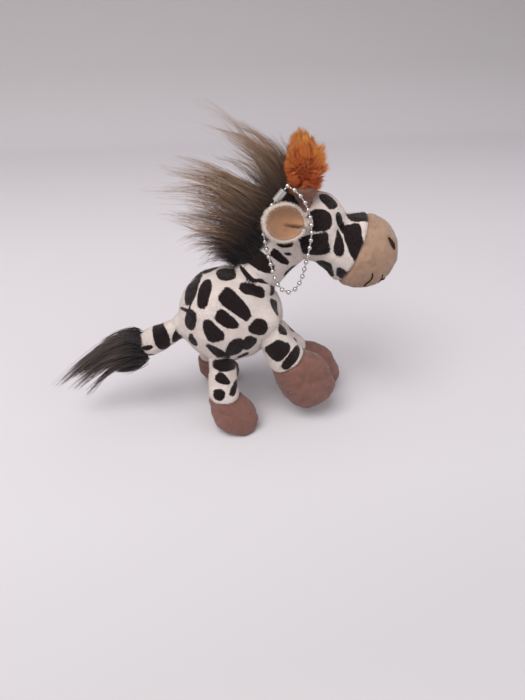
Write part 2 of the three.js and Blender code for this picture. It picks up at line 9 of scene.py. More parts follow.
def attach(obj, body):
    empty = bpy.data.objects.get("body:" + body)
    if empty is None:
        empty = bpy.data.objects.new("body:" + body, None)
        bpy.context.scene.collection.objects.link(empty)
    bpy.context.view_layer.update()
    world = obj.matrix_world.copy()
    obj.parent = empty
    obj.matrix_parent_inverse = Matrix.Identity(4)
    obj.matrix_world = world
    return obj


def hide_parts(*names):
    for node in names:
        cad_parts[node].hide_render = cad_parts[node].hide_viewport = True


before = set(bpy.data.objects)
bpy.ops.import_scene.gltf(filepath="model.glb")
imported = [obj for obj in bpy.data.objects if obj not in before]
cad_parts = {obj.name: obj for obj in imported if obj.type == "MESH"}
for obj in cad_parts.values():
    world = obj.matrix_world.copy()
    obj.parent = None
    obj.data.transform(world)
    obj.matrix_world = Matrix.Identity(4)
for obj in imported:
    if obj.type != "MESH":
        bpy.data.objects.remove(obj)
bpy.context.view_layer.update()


# Camera, floor and light
# The toy stands on a plain pale floor that curves up into a backdrop, with painted shade towards its near
# edge and top.
# A broad soft lamp hangs above it to the left and a weak one to the right, in a bright room.

# The sewing pattern is in millimetres, with the eye of the chain's ribbon here.
# The shared frame is in metres from that eye.
RIBBON_EYE_AT = np.array([-1.903, -11.279, 99.448])


def metres(points):
    """From the pattern's millimetres to the shared frame's metres: (p - eye) / 1000."""
    return (np.asarray(points, float) - RIBBON_EYE_AT) * 0.001


def colour(red, green, blue):
    """A colour of 0-255 as a shader takes it: each number v of 0-1 becomes ((v + 0.055) / 1.055)^2.4."""
    share = (np.array([red, green, blue]) / 255 + 0.055) / 1.055
    return (*(float(s) for s in share**2.4), 1.0)


def add(tree, kind, inputs=None, **settings):
    """A shader node with its settings, and each input set to a number or linked to a socket."""
    made = tree.nodes.new(kind)
    for key, value in settings.items():
        setattr(made, key, value)
    for socket, value in (inputs or {}).items():
        if isinstance(value, bpy.types.NodeSocket):
            tree.links.new(value, made.inputs[socket])
        else:
            made.inputs[socket].default_value = value
    return made


def maths(tree, operation, *values, **settings):
    """What a maths node makes of these sockets and numbers."""
    return add(tree, "ShaderNodeMath", dict(enumerate(values)), operation=operation, **settings).outputs[0]


def new_material(name):
    """An empty node material and its tree."""
    material = bpy.data.materials.new(name)
    material.use_nodes = True
    material.node_tree.nodes.clear()
    return material, material.node_tree


def surface(tree, inputs):
    """A Principled surface with these inputs, which the material puts out."""
    shader = add(tree, "ShaderNodeBsdfPrincipled", inputs)
    add(tree, "ShaderNodeOutputMaterial", {"Surface": shader.outputs[0]})


scene = bpy.context.scene
scene.view_settings.view_transform = "Standard"

CAMERA_AT = (-34.469, -195.484, 166.6)
CAMERA_FORWARD = np.array([0.1456, 0.8259, -0.5446])
CAMERA_RIGHT = np.array([0.9848, -0.1736, 0.0])
LENS, SENSOR = 27.0, 36.0

camera = bpy.data.objects.new("camera", bpy.data.cameras.new("camera"))
scene.collection.objects.link(camera)
camera.data.lens = LENS
camera.data.sensor_width = SENSOR
camera.data.clip_start = 0.01
camera.data.clip_end = 20.0
up = np.cross(CAMERA_RIGHT, CAMERA_FORWARD)
axes = np.stack([CAMERA_RIGHT, up, -CAMERA_FORWARD, metres(CAMERA_AT)], axis=1)
camera.matrix_world = Matrix([*axes.tolist(), (0, 0, 0, 1)])
scene.camera = camera

SOLES_AT = (0, 0, 11.3)
FLOOR_HALF = 1.6
BACKDROP_AT, BACKDROP_BEND, BACKDROP_TALL = 0.55, 0.25, 1.4
# How far back plus twice how far up, in metres, and the colour there: the pale paper with painted shade,
# darker towards the near edge and up the backdrop where the lamps' light falls off.
PAPER_AND_PAINTED_SHADE = [
    (-0.11, (200, 197, 200)), (-0.05, (209, 206, 210)), (0.05, (213, 209, 214)),
    (0.21, (214, 210, 215)), (0.31, (211, 207, 212)), (0.46, (207, 203, 208)),
    (0.6, (205, 201, 205)), (0.77, (194, 190, 193)), (0.9, (185, 181, 183)),
    (1.1, (180, 176, 177)),
]

floor_z = metres(SOLES_AT)[2]
bend = np.linspace(0, math.pi / 2, 13)
back = BACKDROP_AT + BACKDROP_BEND * np.sin(bend)
back = np.concatenate([[-FLOOR_HALF], back, back[-1:]])
rise = np.concatenate([[0], BACKDROP_BEND * (1 - np.cos(bend)), [BACKDROP_TALL]])
across = np.array([[-FLOOR_HALF], [FLOOR_HALF]])
sweep = np.stack(np.broadcast_arrays(across, back, floor_z + rise), axis=-1)
rows = len(back)
strips = [[i, i + rows, i + rows + 1, i + 1] for i in range(rows - 1)]
floor_mesh = bpy.data.meshes.new("floor")
floor_mesh.from_pydata(sweep.reshape(-1, 3).tolist(), [], strips)
floor_mesh.polygons.foreach_set("use_smooth", [True] * len(strips))
floor = bpy.data.objects.new("floor", floor_mesh)
scene.collection.objects.link(floor)

material, tree = new_material("floor_paper")
place = add(tree, "ShaderNodeTexCoord").outputs["Object"]
place = add(tree, "ShaderNodeSeparateXYZ", {"Vector": place}).outputs
twice_up = maths(tree, "MULTIPLY_ADD", place["Z"], 2.0, -2 * floor_z)
way_back = maths(tree, "ADD", twice_up, place["Y"])
first, last = PAPER_AND_PAINTED_SHADE[0][0], PAPER_AND_PAINTED_SHADE[-1][0]
share = {"Value": way_back, "From Min": first, "From Max": last}
share = add(tree, "ShaderNodeMapRange", share).outputs[0]
# The ramp paints the shade along the floor and up the backdrop.
ramp = add(tree, "ShaderNodeValToRGB", {"Fac": share})
stops = ramp.color_ramp.elements
stops[0].color = colour(*PAPER_AND_PAINTED_SHADE[0][1])
stops[1].color = colour(*PAPER_AND_PAINTED_SHADE[-1][1])
for at, shade in PAPER_AND_PAINTED_SHADE[1:-1]:
    stops.new((at - first) / (last - first)).color = colour(*shade)
surface(tree, {"Base Color": ramp.outputs["Color"], "Roughness": 0.9, "Specular IOR Level": 0.1})
floor_mesh.materials.append(material)

room = bpy.data.worlds.new("room")
room.use_nodes = True
scene.world = room
background = room.node_tree.nodes["Background"].inputs
background["Color"].default_value = (1.0, 0.985, 1.0, 1.0)
background["Strength"].default_value = 0.62

TOY_MIDDLE = (-8, 0, 70)


def lamp(name, at, size, power, tint):
    """A square soft lamp at a point in the frame, turned to face the toy's middle."""
    light = bpy.data.lights.new(name, "AREA")
    light.shape = "SQUARE"
    light.size = size
    light.energy = power
    light.color = tint
    made = bpy.data.objects.new(name, light)
    scene.collection.objects.link(made)
    made.location = at
    x, y, z = metres(TOY_MIDDLE) - np.array(at)
    made.rotation_euler = (math.atan2(math.hypot(x, y), -z), 0, math.atan2(y, x) - math.pi / 2)


lamp("key_lamp", (-0.38, -0.36, 0.84), 0.7, 8.6, (1.0, 0.98, 0.96))
lamp("fill_lamp", (0.7, -0.5, 0.35), 0.8, 1.0, (0.97, 0.98, 1.0))


# Torso
# A stuffed bag of short-pile plush, cream with printed brown patches, sewn
# from curved panels. It is an egg whose bigger end is the rump.


def mesh_piece(name, shape, material, values=None, smooth=True):
    """A mesh object of a shape: its points in pattern millimetres, its quads and its triangles. values holds
    a number for every point under each name that a material reads."""
    points, quads, triangles = shape[:3]
    quads = np.asarray(quads, int).reshape(-1, 4)
    triangles = np.asarray(triangles, int).reshape(-1, 3)
    corners = np.concatenate([quads.ravel(), triangles.ravel()])
    sizes = np.repeat([4, 3], [len(quads), len(triangles)])
    starts = np.cumsum(sizes) - sizes
    mesh = bpy.data.meshes.new(name)
    mesh.vertices.add(len(points))
    mesh.vertices.foreach_set("co", metres(points).astype(np.float32).ravel())
    mesh.loops.add(len(corners))
    mesh.loops.foreach_set("vertex_index", corners.astype(np.int32))
    mesh.polygons.add(len(sizes))
    mesh.polygons.foreach_set("loop_start", starts.astype(np.int32))
    mesh.polygons.foreach_set("use_smooth", np.full(len(sizes), smooth))
    mesh.update(calc_edges=True)
    for key, numbers in (values or {}).items():
        attribute = mesh.attributes.new(key, "FLOAT", "POINT")
        attribute.data.foreach_set("value", np.asarray(numbers, np.float32).ravel())
    mesh.materials.append(material)
    made = bpy.data.objects.new(name, mesh)
    scene.collection.objects.link(made)
    return made


def around(sides):
    """The angles of that many equal steps round a circle."""
    return np.linspace(0, 2 * np.pi, sides, endpoint=False)


def rays(angles, sides, axes=np.eye(3)):
    """Ways at each angle t from the first axis and f round it, as whole arrays:
    cos t first + sin t (cos f second + sin f third)."""
    t, f = (angle[..., None] for angle in np.meshgrid(angles, around(sides), indexing="ij"))
    return np.cos(t) * axes[0] + np.sin(t) * (np.cos(f) * axes[1] + np.sin(f) * axes[2])


def grid_faces(rings, sides):
    """Quads between rings that close round, and a fan to a point at each end; points run end, rings, end."""
    here = 1 + np.arange(rings * sides).reshape(rings, sides)
    beside = np.roll(here, -1, axis=1)
    quads = np.stack([here[:-1], beside[:-1], beside[1:], here[1:]], axis=-1).reshape(-1, 4)
    first = np.stack([np.zeros(sides, int), beside[0], here[0]], axis=-1)
    last = np.stack([np.full(sides, 1 + rings * sides), here[-1], beside[-1]], axis=-1)
    return quads, np.concatenate([first, last])


def skin_of(rings):
    """A closed skin from rings[i, j], i along and j round: its points, quads, triangles and outward normals.
    A fan to its middle closes the first ring and the last, and the faces are turned outwards."""
    count, sides = rings.shape[:2]
    points = np.concatenate([rings[0].mean(0)[None], rings.reshape(-1, 3), rings[-1].mean(0)[None]])
    quads, triangles = grid_faces(count, sides)
    a, b, c, d = (points[quads[:, k]] for k in range(4))
    facing = np.cross(c - a, d - b)
    if np.sum(facing * ((a + b + c + d) / 4 - points.mean(0))) < 0:
        quads, triangles, facing = quads[:, ::-1], triangles[:, ::-1], -facing
    normals = np.zeros_like(points)
    for k in range(4):
        np.add.at(normals, quads[:, k], facing)
    corner = points[triangles]
    flat = np.cross(corner[:, 1] - corner[:, 0], corner[:, 2] - corner[:, 0])
    for k in range(3):
        np.add.at(normals, triangles[:, k], flat)
    normals /= np.maximum(np.linalg.norm(normals, axis=1), 1e-9)[:, None]
    return points, quads, triangles, normals


def wobble(points, size, seed):
    """Soft unevenness of about -1 to 1: 12 sine waves of about that length in millimetres, each its own way,
    added up and divided by 4.2."""
    random = np.random.default_rng(seed)
    ways = random.normal(size=(12, 3))
    ways /= np.linalg.norm(ways, axis=1)[:, None]
    waves = 2 * np.pi / (size * random.uniform(0.7, 1.5, 12))
    phases = random.uniform(0, 2 * np.pi, 12)
    return np.sin(points @ (ways * waves[:, None]).T + phases).sum(1) / 4.2


def lumpy(skin, *lumps):
    """The skin over uneven stuffing: each (height, size, seed) moves the points out by height * wobble."""
    points, quads, triangles, normals = skin
    rise = sum(height * wobble(points, size, seed) for height, size, seed in lumps)
    return points + normals * rise[:, None], quads, triangles, normals


# How square a patch's corners are and how much it narrows, where it doesn't say.
PLAIN_PATCH = (2.8, 0.0)
FAR_OFF = 9.0


# Besides the printed patches, these shapes also paint shade in the crease round the neck's foot.
def patch_edge(skin, patches, seed):
    """Millimetres from the nearest printed patch's edge, below 0 inside it. A patch (x, y, z, half length,
    half width, turn, power, taper) is a rounded block |a|^power + |b|^power < 1 laid on the cloth where that
    point touches it, its length along X turned by turn degrees; taper narrows it towards its forward end."""
    points, _, _, normals = skin
    edge = np.full(len(points), FAR_OFF)
    for x, y, z, half_long, half_wide, turn, *rest in patches:
        power, taper = (*rest, *PLAIN_PATCH[len(rest) :])
        centre = np.argmin(((points - (x, y, z)) ** 2).sum(1))
        out = normals[centre]
        along = np.array([1.0, 0, 0]) - out[0] * out
        along /= np.linalg.norm(along)
        across = np.cross(out, along)
        c, s = math.cos(math.radians(turn)), math.sin(math.radians(turn))
        away = points - points[centre]
        a = away @ (along * c + across * s) / half_long
        b = away @ (across * c - along * s) / half_wide
        b = b / np.clip(1 - taper * a, 0.25, 2)
        reach = (np.abs(a) ** power + np.abs(b) ** power) ** (1 / power)
        inside = (reach - 1) * math.sqrt(half_long * half_wide) - 0.15
        inside = np.where(normals @ out > -0.1, inside, FAR_OFF)
        near = (away**2).sum(1) < (2.2 * max(half_long, half_wide)) ** 2
        edge = np.minimum(edge, np.where(near, inside, FAR_OFF))
    return edge + (0.3 * wobble(points, 6.5, seed) + 0.08 * wobble(points, 1.6, seed + 1))


def mirrored(patches, shift):
    """The same patches on the toy's other side, moved along by shift."""
    return [
        (x + shift[0], -y + shift[1], z + shift[2], half_long, half_wide, -turn, *rest)
        for x, y, z, half_long, half_wide, turn, *rest in patches
    ]


def nap_group():
    """Shared by all the plush: how light or dark the pile lies, a mask with fuzzy edges and its bump's
    height. Fine noise is the hairs, coarse noise the way they lie, each added as (noise - 0.5) * share."""
    group = bpy.data.node_groups.new("nap", "ShaderNodeTree")
    for name in ("Fineness", "Mottle", "Edge"):
        group.interface.new_socket(name, in_out="INPUT", socket_type="NodeSocketFloat")
    for name in ("Shade", "Mask", "Height"):
        group.interface.new_socket(name, in_out="OUTPUT", socket_type="NodeSocketFloat")
    given = group.nodes.new("NodeGroupInput").outputs
    place = add(group, "ShaderNodeTexCoord").outputs["Object"]
    fine = {"Vector": place, "Scale": given["Fineness"], "Detail": 3.0, "Roughness": 0.6}
    fine = add(group, "ShaderNodeTexNoise", fine).outputs["Fac"]
    lie = {"Vector": place, "Scale": 210.0, "Detail": 2.0}
    lie = add(group, "ShaderNodeTexNoise", lie).outputs["Fac"]
    hair_shade = maths(group, "SUBTRACT", fine, 0.5)
    lie_shade = maths(group, "SUBTRACT", lie, 0.5)
    lie_shade = maths(group, "MULTIPLY_ADD", lie_shade, given["Mottle"], 0.98)
    fray = maths(group, "MULTIPLY_ADD", hair_shade, 0.9, given["Edge"])
    mask = add(group, "ShaderNodeMapRange", {"Value": fray, "From Min": 0.16, "From Max": -0.16})
    found = {"Shade": maths(group, "MULTIPLY_ADD", hair_shade, 0.25, lie_shade)}
    add(group, "NodeGroupOutput", {**found, "Mask": mask.outputs[0], "Height": fine})
    return group


NAP = nap_group()
NAP_DEEP = 0.0004


def plush(name, ground, print_and_shade_colour=None, fineness=1500.0, mottle=0.25):
    """Short-pile plush: a ground colour, the printed patches in theirs (on the torso they also paint shade
    in the neck's crease), a fine nap bump and a soft sheen.
    """
    material, tree = new_material(name)
    edge = 1.0
    if print_and_shade_colour:
        edge = add(tree, "ShaderNodeAttribute", attribute_name="patch").outputs["Fac"]
    nap = {"Fineness": fineness, "Mottle": mottle, "Edge": edge}
    nap = add(tree, "ShaderNodeGroup", nap, node_tree=NAP).outputs
    ground_print_and_painted_shade = ground
    if print_and_shade_colour:
        ground_print_and_painted_shade = {"Factor": nap["Mask"], "A": ground, "B": print_and_shade_colour}
        ground_print_and_painted_shade = add(tree, "ShaderNodeMix", ground_print_and_painted_shade, data_type="RGBA").outputs["Result"]
    shaded = {"Factor": 1.0, "A": ground_print_and_painted_shade, "B": nap["Shade"]}
    shaded = add(tree, "ShaderNodeMix", shaded, data_type="RGBA", blend_type="MULTIPLY").outputs["Result"]
    bump = {"Height": nap["Height"], "Strength": 0.4, "Distance": NAP_DEEP}
    bump = add(tree, "ShaderNodeBump", bump).outputs["Normal"]
    cloth = {"Base Color": shaded, "Roughness": 0.95, "Specular IOR Level": 0.12, "Normal": bump}
    surface(tree, {**cloth, "Sheen Weight": 0.3, "Sheen Roughness": 0.5})
    return material


# A pile is its tufts to a square millimetre and their length.
PLUSH_PILE = (15, 0.7)
PILE_HALF, PILE_SUNK = 0.09, 0.12


def pile(name, skin, patch, dense, long, lean, material, body, keep):
    """The cloth's pile: flat tapering tufts over the skin, dense to a square millimetre. Each leans over by
    lean and by chance, lies face up to the light, and carries its root's patch number to its tip. keep is 0
    for the faces that stay bare."""
    points, quads, _, normals = skin
    random = np.random.default_rng(len(points))
    corner = points[quads]
    area = 0.5 * np.linalg.norm(np.cross(corner[:, 2] - corner[:, 0], corner[:, 3] - corner[:, 1]), axis=1)
    area = area * keep
    count = int(area.sum() * dense)
    chosen = random.choice(len(quads), count, p=area / area.sum())
    u, v = random.uniform(size=(2, count, 1))
    share = np.stack([(1 - u) * (1 - v), u * (1 - v), u * v, (1 - u) * v], axis=1)
    root = (corner[chosen] * share).sum(1)
    out = (normals[quads[chosen]] * share).sum(1)
    way = 0.7 * out + np.asarray(lean) + random.normal(size=(count, 3)) * 0.5
    way /= np.linalg.norm(way, axis=1)[:, None]
    way += out * np.maximum(0, 0.35 - (way * out).sum(1))[:, None]
    side = np.cross(way, out) + random.normal(size=(count, 3)) * 0.15
    side /= np.linalg.norm(side, axis=1)[:, None]
    size = long * random.uniform(0.65, 1.15, (count, 1))
    root = root - out * PILE_SUNK
    blades = np.stack([root + side * PILE_HALF, root - side * PILE_HALF, root + way * size], axis=1)
    faces = np.arange(3 * count).reshape(-1, 3)
    values = {}
    if patch is not None:
        values["patch"] = np.repeat((patch[quads[chosen]] * share[..., 0]).sum(1), 3)
    made = mesh_piece(name, (blades.reshape(-1, 3), [], faces), material, values, smooth=False)
    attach(made, body)


def cover(name, skin, body, material, dense, long, lean, patches=None, seed=0, keep=1):
    """A plush cover: its cloth, which is the skin with the printed patches if it has any, and its pile."""
    patch = patch_edge(skin, patches, seed) if patches else None
    cloth = mesh_piece(name + "_plush", skin, material, {"patch": patch} if patches else {})
    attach(cloth, body)
    pile(name + "_pile", skin, patch, dense, long, lean, material, body, keep)
    return cloth


def egg_depth(points, centre, half):
    """About how many millimetres outside an egg a point is: k(k - 1) / |p / half^2| with k = |p / half|."""
    away = (points - centre) / half
    k = np.linalg.norm(away, axis=-1)
    return k * (k - 1) / np.maximum(np.linalg.norm(away / half, axis=-1), 1e-9)


def blended(depths, width):
    """The least of some depths, run into each other where they are alike:
    -width log(sum of exp(-depth / width))."""
    return -np.log(sum(np.exp(-np.clip(depth, -40, 40) / width) for depth in depths)) * width


def cast(depth, middle, ways, far):
    """Where rays from a middle point leave a form, found by halving: the last is within far / 2^22."""
    near, far = np.zeros(ways.shape[:-1]), np.full(ways.shape[:-1], float(far))
    for _ in range(22):
        half = (near + far) / 2
        outside = depth(middle + ways * half[..., None]) > 0
        near, far = np.where(outside, near, half), np.where(outside, half, far)
    return (near + far) / 2


CREAM = colour(214, 202, 197)
# The patches' dark brown, which also paints shade in the crease round the foot of the neck.
PATCH_AND_CREASE_SHADE = colour(26, 10, 13)
plush_material = plush("giraffe_plush", CREAM, PATCH_AND_CREASE_SHADE)

TORSO_AT = np.array([-13.6, 0, 57.8])
TORSO_HALF = np.array([21.9, 18.6, 20.2])
RUMP_SWELL = 0.08
SHOULDER_HALF, SHOULDER_SINK = np.array([10.0, 9.7, 5.2]), -1.4
NECK_AT = np.array([-2.3, 0, 75.2])
HEAD_PIVOT = np.array([14.6, 0, 91.6])
TAIL_AT, TAIL_BALL = np.array([-33.4, 0, 54]), 5.5
SEWN_OVER = 0.8  # how far the torso and what is sewn to it run into each other
HIP_SWELL = 1.15
FRONT = {"radius": 6.1, "ankle": 7.6, "hoof": 9.3, "drop": 24, "toe": 1.9, "pitch": 0.0}
REAR = {"radius": 5.4, "ankle": 6.2, "hoof": 7.9, "drop": 14.8, "toe": 3.9, "pitch": 0.22}
# Each leg's hip, its swing forward in degrees, how far it splays and its sizes.
LEGS = {
    "front_right": ((-2, -10.4, 58.6), 30, 0.13, FRONT),
    "front_left": ((2.6, 8.5, 48.4), 37, -0.15, FRONT),
    "rear_right": ((-19.6, -9.8, 48.2), 0, 0.33, REAR),
    "rear_left": ((-19.6, 9.8, 48.2), -5.5, 0.24, REAR),
}

near_back = [(-15.2, -3.1, 77.7, 3.9, 4.3, 5, 2.6), (-29.4, -2.1, 72.6, 7.2, 3.7, 57, 2.6, 0.2)]
near_side = [
    (-24.9, -8.5, 73.2, 6.0, 2.7, 71, 2.8, 0.1),
    (-13.1, -15, 69.8, 7.4, 3.2, -49, 3.6, 0.24),
    (-5.9, -9.7, 72.7, 5.2, 2.2, -19, 3.2),
    (-17.2, -17.4, 64.2, 5.2, 2.5, -33, 2.8, 0.25),
    (-23.3, -17.3, 59.8, 5.2, 3.2, -65, 2.8, -0.25),
    (-31.1, -10.9, 62.5, 4.3, 3.3, 65, 2.6),
    (-31, -11, 53.1, 2.6, 3.2, -21, 2.4, 0.3),
    (-21.3, -16.5, 49.2, 6.0, 2.2, -45, 2.6),
    (-14.4, -17.8, 51.7, 5.2, 3.2, 79),
    (-8.4, -17.2, 53, 3.5, 3.2, 51),
    (-10.8, -14.2, 45.5, 2.7, 1.6, 33, 2.6),
    (3.1, -5.8, 71, 2.6, 2.8, -82, 2.6),
    (3.4, -10, 64.2, 3.6, 2.2, -88, 2.8, 0.35),
]
# Patches that run across the seams into other parts, and painted shade in the neck's crease.
across_seams_and_crease_shade = [
    (-30.3, -8.3, 68.2, 2.2, 0.6, 53, 2.4),
    (-33.3, -5.4, 64.5, 4.4, 0.7, -28, 2.4),
    # The next two are thin dark lines of painted shade in the crease round the foot of the neck, in the
    # patches' colour.
    (-7.5, -7.5, 79.1, 4.8, 0.9, -50, 2.4),
    (-1.3, -8.6, 75.8, 4.9, 0.8, -7, 2.4),
    (-21.3, 4.8, 76.6, 3.6, 3.2, -72, 2.4),
    (-4.9, -17.3, 59.8, 3.6, 3.4, -37, 2.6),
]
belly = [
    (-3, 3, 41.5, 4.6, 3.6, 20),
    (-14, -6, 38.4, 4.4, 3.4, -40),
    (-15, 6, 38.4, 3.6, 4.4, 30, 2.8, 0.2),
    (-26, 1, 41, 4.4, 3.2, 80, 3.2),
]
far_shoulder = [
    (-3, 16.8, 59, 4.4, 3.4, 35, 2.6),
    (0.6, 14, 66.4, 4.2, 2.6, 70, 2.8, 0.2),
    (-9.5, 18, 53.6, 3.6, 3.0, -30, 2.6),
    (6.6, 6.6, 58.5, 3.4, 3.8, 80, 2.6),
    (7.2, -2.2, 54, 3.6, 3.0, 10),
]
far_side = mirrored(near_side, (-2.5, 0, -1.5))
torso_patches = near_back + near_side + across_seams_and_crease_shade + far_side + belly + far_shoulder

neck_way = HEAD_PIVOT - NECK_AT
NECK_LONG = float(np.linalg.norm(neck_way))
neck_way /= NECK_LONG
neck_turn = np.stack([np.array([neck_way[2], 0, -neck_way[0]]), [0, 1, 0], neck_way], axis=1)


def torso_depth(points):
    """How far outside the torso a point is: the blended depths of its egg, of the shoulder that the neck is
    sewn to and of a ball at each leg and the tail."""
    x = np.clip((points[..., :1] - TORSO_AT[0]) / TORSO_HALF[0], -1, 1)
    thin = 1 - RUMP_SWELL * x
    slim = TORSO_AT + (points - TORSO_AT) / np.concatenate([np.ones_like(x), thin, thin], -1)
    depths = [egg_depth(slim, TORSO_AT, TORSO_HALF)]
    depths.append(egg_depth((points - NECK_AT) @ neck_turn, (0, 0, SHOULDER_SINK), SHOULDER_HALF))
    for hip, _, _, leg in LEGS.values():
        depths.append(np.linalg.norm(points - hip, axis=-1) - leg["radius"] * HIP_SWELL)
    depths.append(np.linalg.norm(points - TAIL_AT, axis=-1) - TAIL_BALL)
    return blended(depths, SEWN_OVER)


ways = rays(np.linspace(0, np.pi, 166)[1:-1], 260)
skin = skin_of(TORSO_AT + ways * cast(torso_depth, TORSO_AT, ways, 34)[..., None])
skin = lumpy(skin, (0.25, 9, 11), (0.06, 3.5, 12))
lean = (-0.25, 0, -0.35)
torso = cover("torso", skin, "torso", plush_material, *PLUSH_PILE, lean, torso_patches, 3)
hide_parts("torso_cover", "torso_stuffing")


# Legs and hooves
# Each leg is a stuffed tube of the same plush, sewn into the torso at the hip.
# Its hoof is a brown plush cup sewn on at the ankle, cloven at the toe.


def curve_through(points, count):
    """Points at equal steps along a centripetal Catmull-Rom curve through these points: cubic Hermite pieces
    whose tangents come from knots spaced by the root of each chord, ends extended straight."""
    p = np.asarray(points, float)
    p = np.concatenate([[2 * p[0] - p[1]], p, [2 * p[-1] - p[-2]]])
    knot = np.sqrt(np.linalg.norm(np.diff(p, axis=0), axis=1))[:, None]
    slope = np.diff(p, axis=0) / knot
    chord = (p[2:] - p[:-2]) / (knot[:-1] + knot[1:])
    tangent = slope[:-1] - chord + slope[1:]
    t = np.linspace(0, 1, 60, endpoint=False)[:, None]
    pieces = []
    for i in range(len(points) - 1):
        a, b = p[i + 1], p[i + 2]
        ta, tb = tangent[i] * knot[i + 1], tangent[i + 1] * knot[i + 1]
        line = (2 * t**3 - 3 * t**2 + 1) * a + (t**3 - 2 * t**2 + t) * ta
        pieces.append(line + (3 * t**2 - 2 * t**3) * b + (t**3 - t**2) * tb)
    fine = np.concatenate(pieces + [p[-2:-1]])
    length = np.concatenate([[0], np.cumsum(np.linalg.norm(np.diff(fine, axis=0), axis=1))])
    steps = np.linspace(0, length[-1], count)
    return np.stack([np.interp(steps, length, fine[:, k]) for k in range(fine.shape[1])], axis=1)


def lathe(profile, rings, sides):
    """Rings of a form turned about Z: each point (radius, height) of the smooth profile, taken round."""
    line = curve_through(profile, rings)
    turn = around(sides)
    radius = np.maximum(line[:, :1], 0.02)
    height = np.broadcast_to(line[:, 1:], (rings, sides))
    return np.stack([radius * np.cos(turn), radius * np.sin(turn), height], axis=-1)


def dome(radius, angles, base=0):
    """A lathe's profile round a ball at height base: (radius cos a, base + radius sin a) at each angle."""
    return [(radius * math.cos(a), base + radius * math.sin(a)) for a in np.radians(angles)]


def about_y(degrees):
    """The turn about Y by that angle, as a matrix for columns."""
    c, s = math.cos(math.radians(degrees)), math.sin(math.radians(degrees))
    return np.array([[c, 0, s], [0, 1, 0], [-s, 0, c]])


ANKLE = 21.0
LEG_TUCK = 0.15
LEG_TUCKED = 0.06  # share of its radius by which a leg's end is less than the torso's ball round it
FOOT_WIDER, FOOT_THINNER = 0.26, 0.13
CLEFT_DEEP, CLEFT_HALF = 2.1, 0.9
HOOF_PILE = (13, 0.5)
SOLE_DEEP, SOLE_AT, SOLE_HALF = 0.3, 0.93, 0.02
LEG_PATCHES = {
    "front_right": [
        (-4.9, -17.3, 59.8, 3.6, 3.4, -37, 2.6),
        (6.2, -13.5, 55.5, 2.6, 2.2, -7, 2.4, 0.2),
        (3, -18.4, 48.8, 4.5, 4.4, -43),
        (9.5, -19.2, 45.4, 5.8, 2.2, 46, 2.6, 0.2),
        (10.5, -9, 46.5, 3.2, 2.6, 30),
        (0, -8, 43, 3.4, 2.4, 60),
    ],
    "front_left": [
        (13, 2.5, 38, 3.4, 2.6, 20),
        (8, 13, 42, 3.6, 3.2, 40),
        (3, 8, 36, 2.6, 3.6, 0),
        (15, 9, 44, 2.6, 2.2, -40, 3.2),
        (3.6, 16.4, 50.5, 3.4, 3.8, 40, 2.6),
    ],
    "rear_right": [
        (-18.3, -16.5, 42.9, 4.8, 2.7, -9),
        (-20, -19.1, 37.3, 3.2, 1.9, -36, 2.2, 0.4),
        (-22.4, -20.8, 31.3, 2.5, 2.3, -3, 2.6),
        (-15.1, -18.8, 32.8, 3.8, 1.5, 50, 2.6),
        (-24, -11, 36, 2.6, 3.4, 20),
        (-15, -11, 37, 2.6, 3.2, -20),
    ],
    "rear_left": [
        (-20, 17, 40, 4.2, 2.7, 13),
        (-24, 12, 35, 2.6, 3.4, -20),
        (-16, 10, 36, 2.6, 3.0, 20),
        (-20, 18, 31, 2.6, 2.0, 50),
    ],
}
hoof_material = plush("hoof_plush", colour(125, 88, 79), fineness=1300.0, mottle=0.6)


def leg_warp(rings, leg, side, splay):
    """A leg's own shape: it splays out below the hip, and its foot widens by 26%, thins by 13% and moves
    forward to the toe and tips forward by its pitch, all growing smoothly from the ankle down."""
    down = np.maximum(0, -rings[..., 2])
    s = np.clip((down - (ANKLE - 1)) / (1 + 0.45 * leg["drop"]), 0, 1)
    foot = s * s * (3 - 2 * s)
    x = rings[..., 0] * (1 + FOOT_WIDER * foot) + leg["toe"] * foot
    y = rings[..., 1] * (1 - FOOT_THINNER * foot) + side * splay * down
    z = rings[..., 2] - leg["pitch"] * foot * (x - leg["toe"])
    return np.stack([x, y, z], axis=-1)


def cloven(rings, leg):
    """The hoof's seams, each deep exp(-(d / half)^2) at d from its line: a cleft pulled in at the toe, and a
    ring drawn in where the sole is sewn on."""
    x, y, z = rings[..., 0], rings[..., 1], rings[..., 2]
    down = (-ANKLE - z) / leg["drop"]
    toe = np.clip(x / leg["hoof"], 0, 1) ** 2 * np.clip(down * 2.2 - 0.5, 0, 1)
    cleft = CLEFT_DEEP * toe * np.exp(-((y / CLEFT_HALF) ** 2))
    sole = SOLE_DEEP * np.exp(-(((down - SOLE_AT) / SOLE_HALF) ** 2))
    radius = np.maximum(np.hypot(x, y), 0.1)
    pull = np.minimum((cleft + sole) / radius, 0.5)
    return np.stack([x * (1 - pull), y * (1 - pull * 0.2), z], axis=-1)


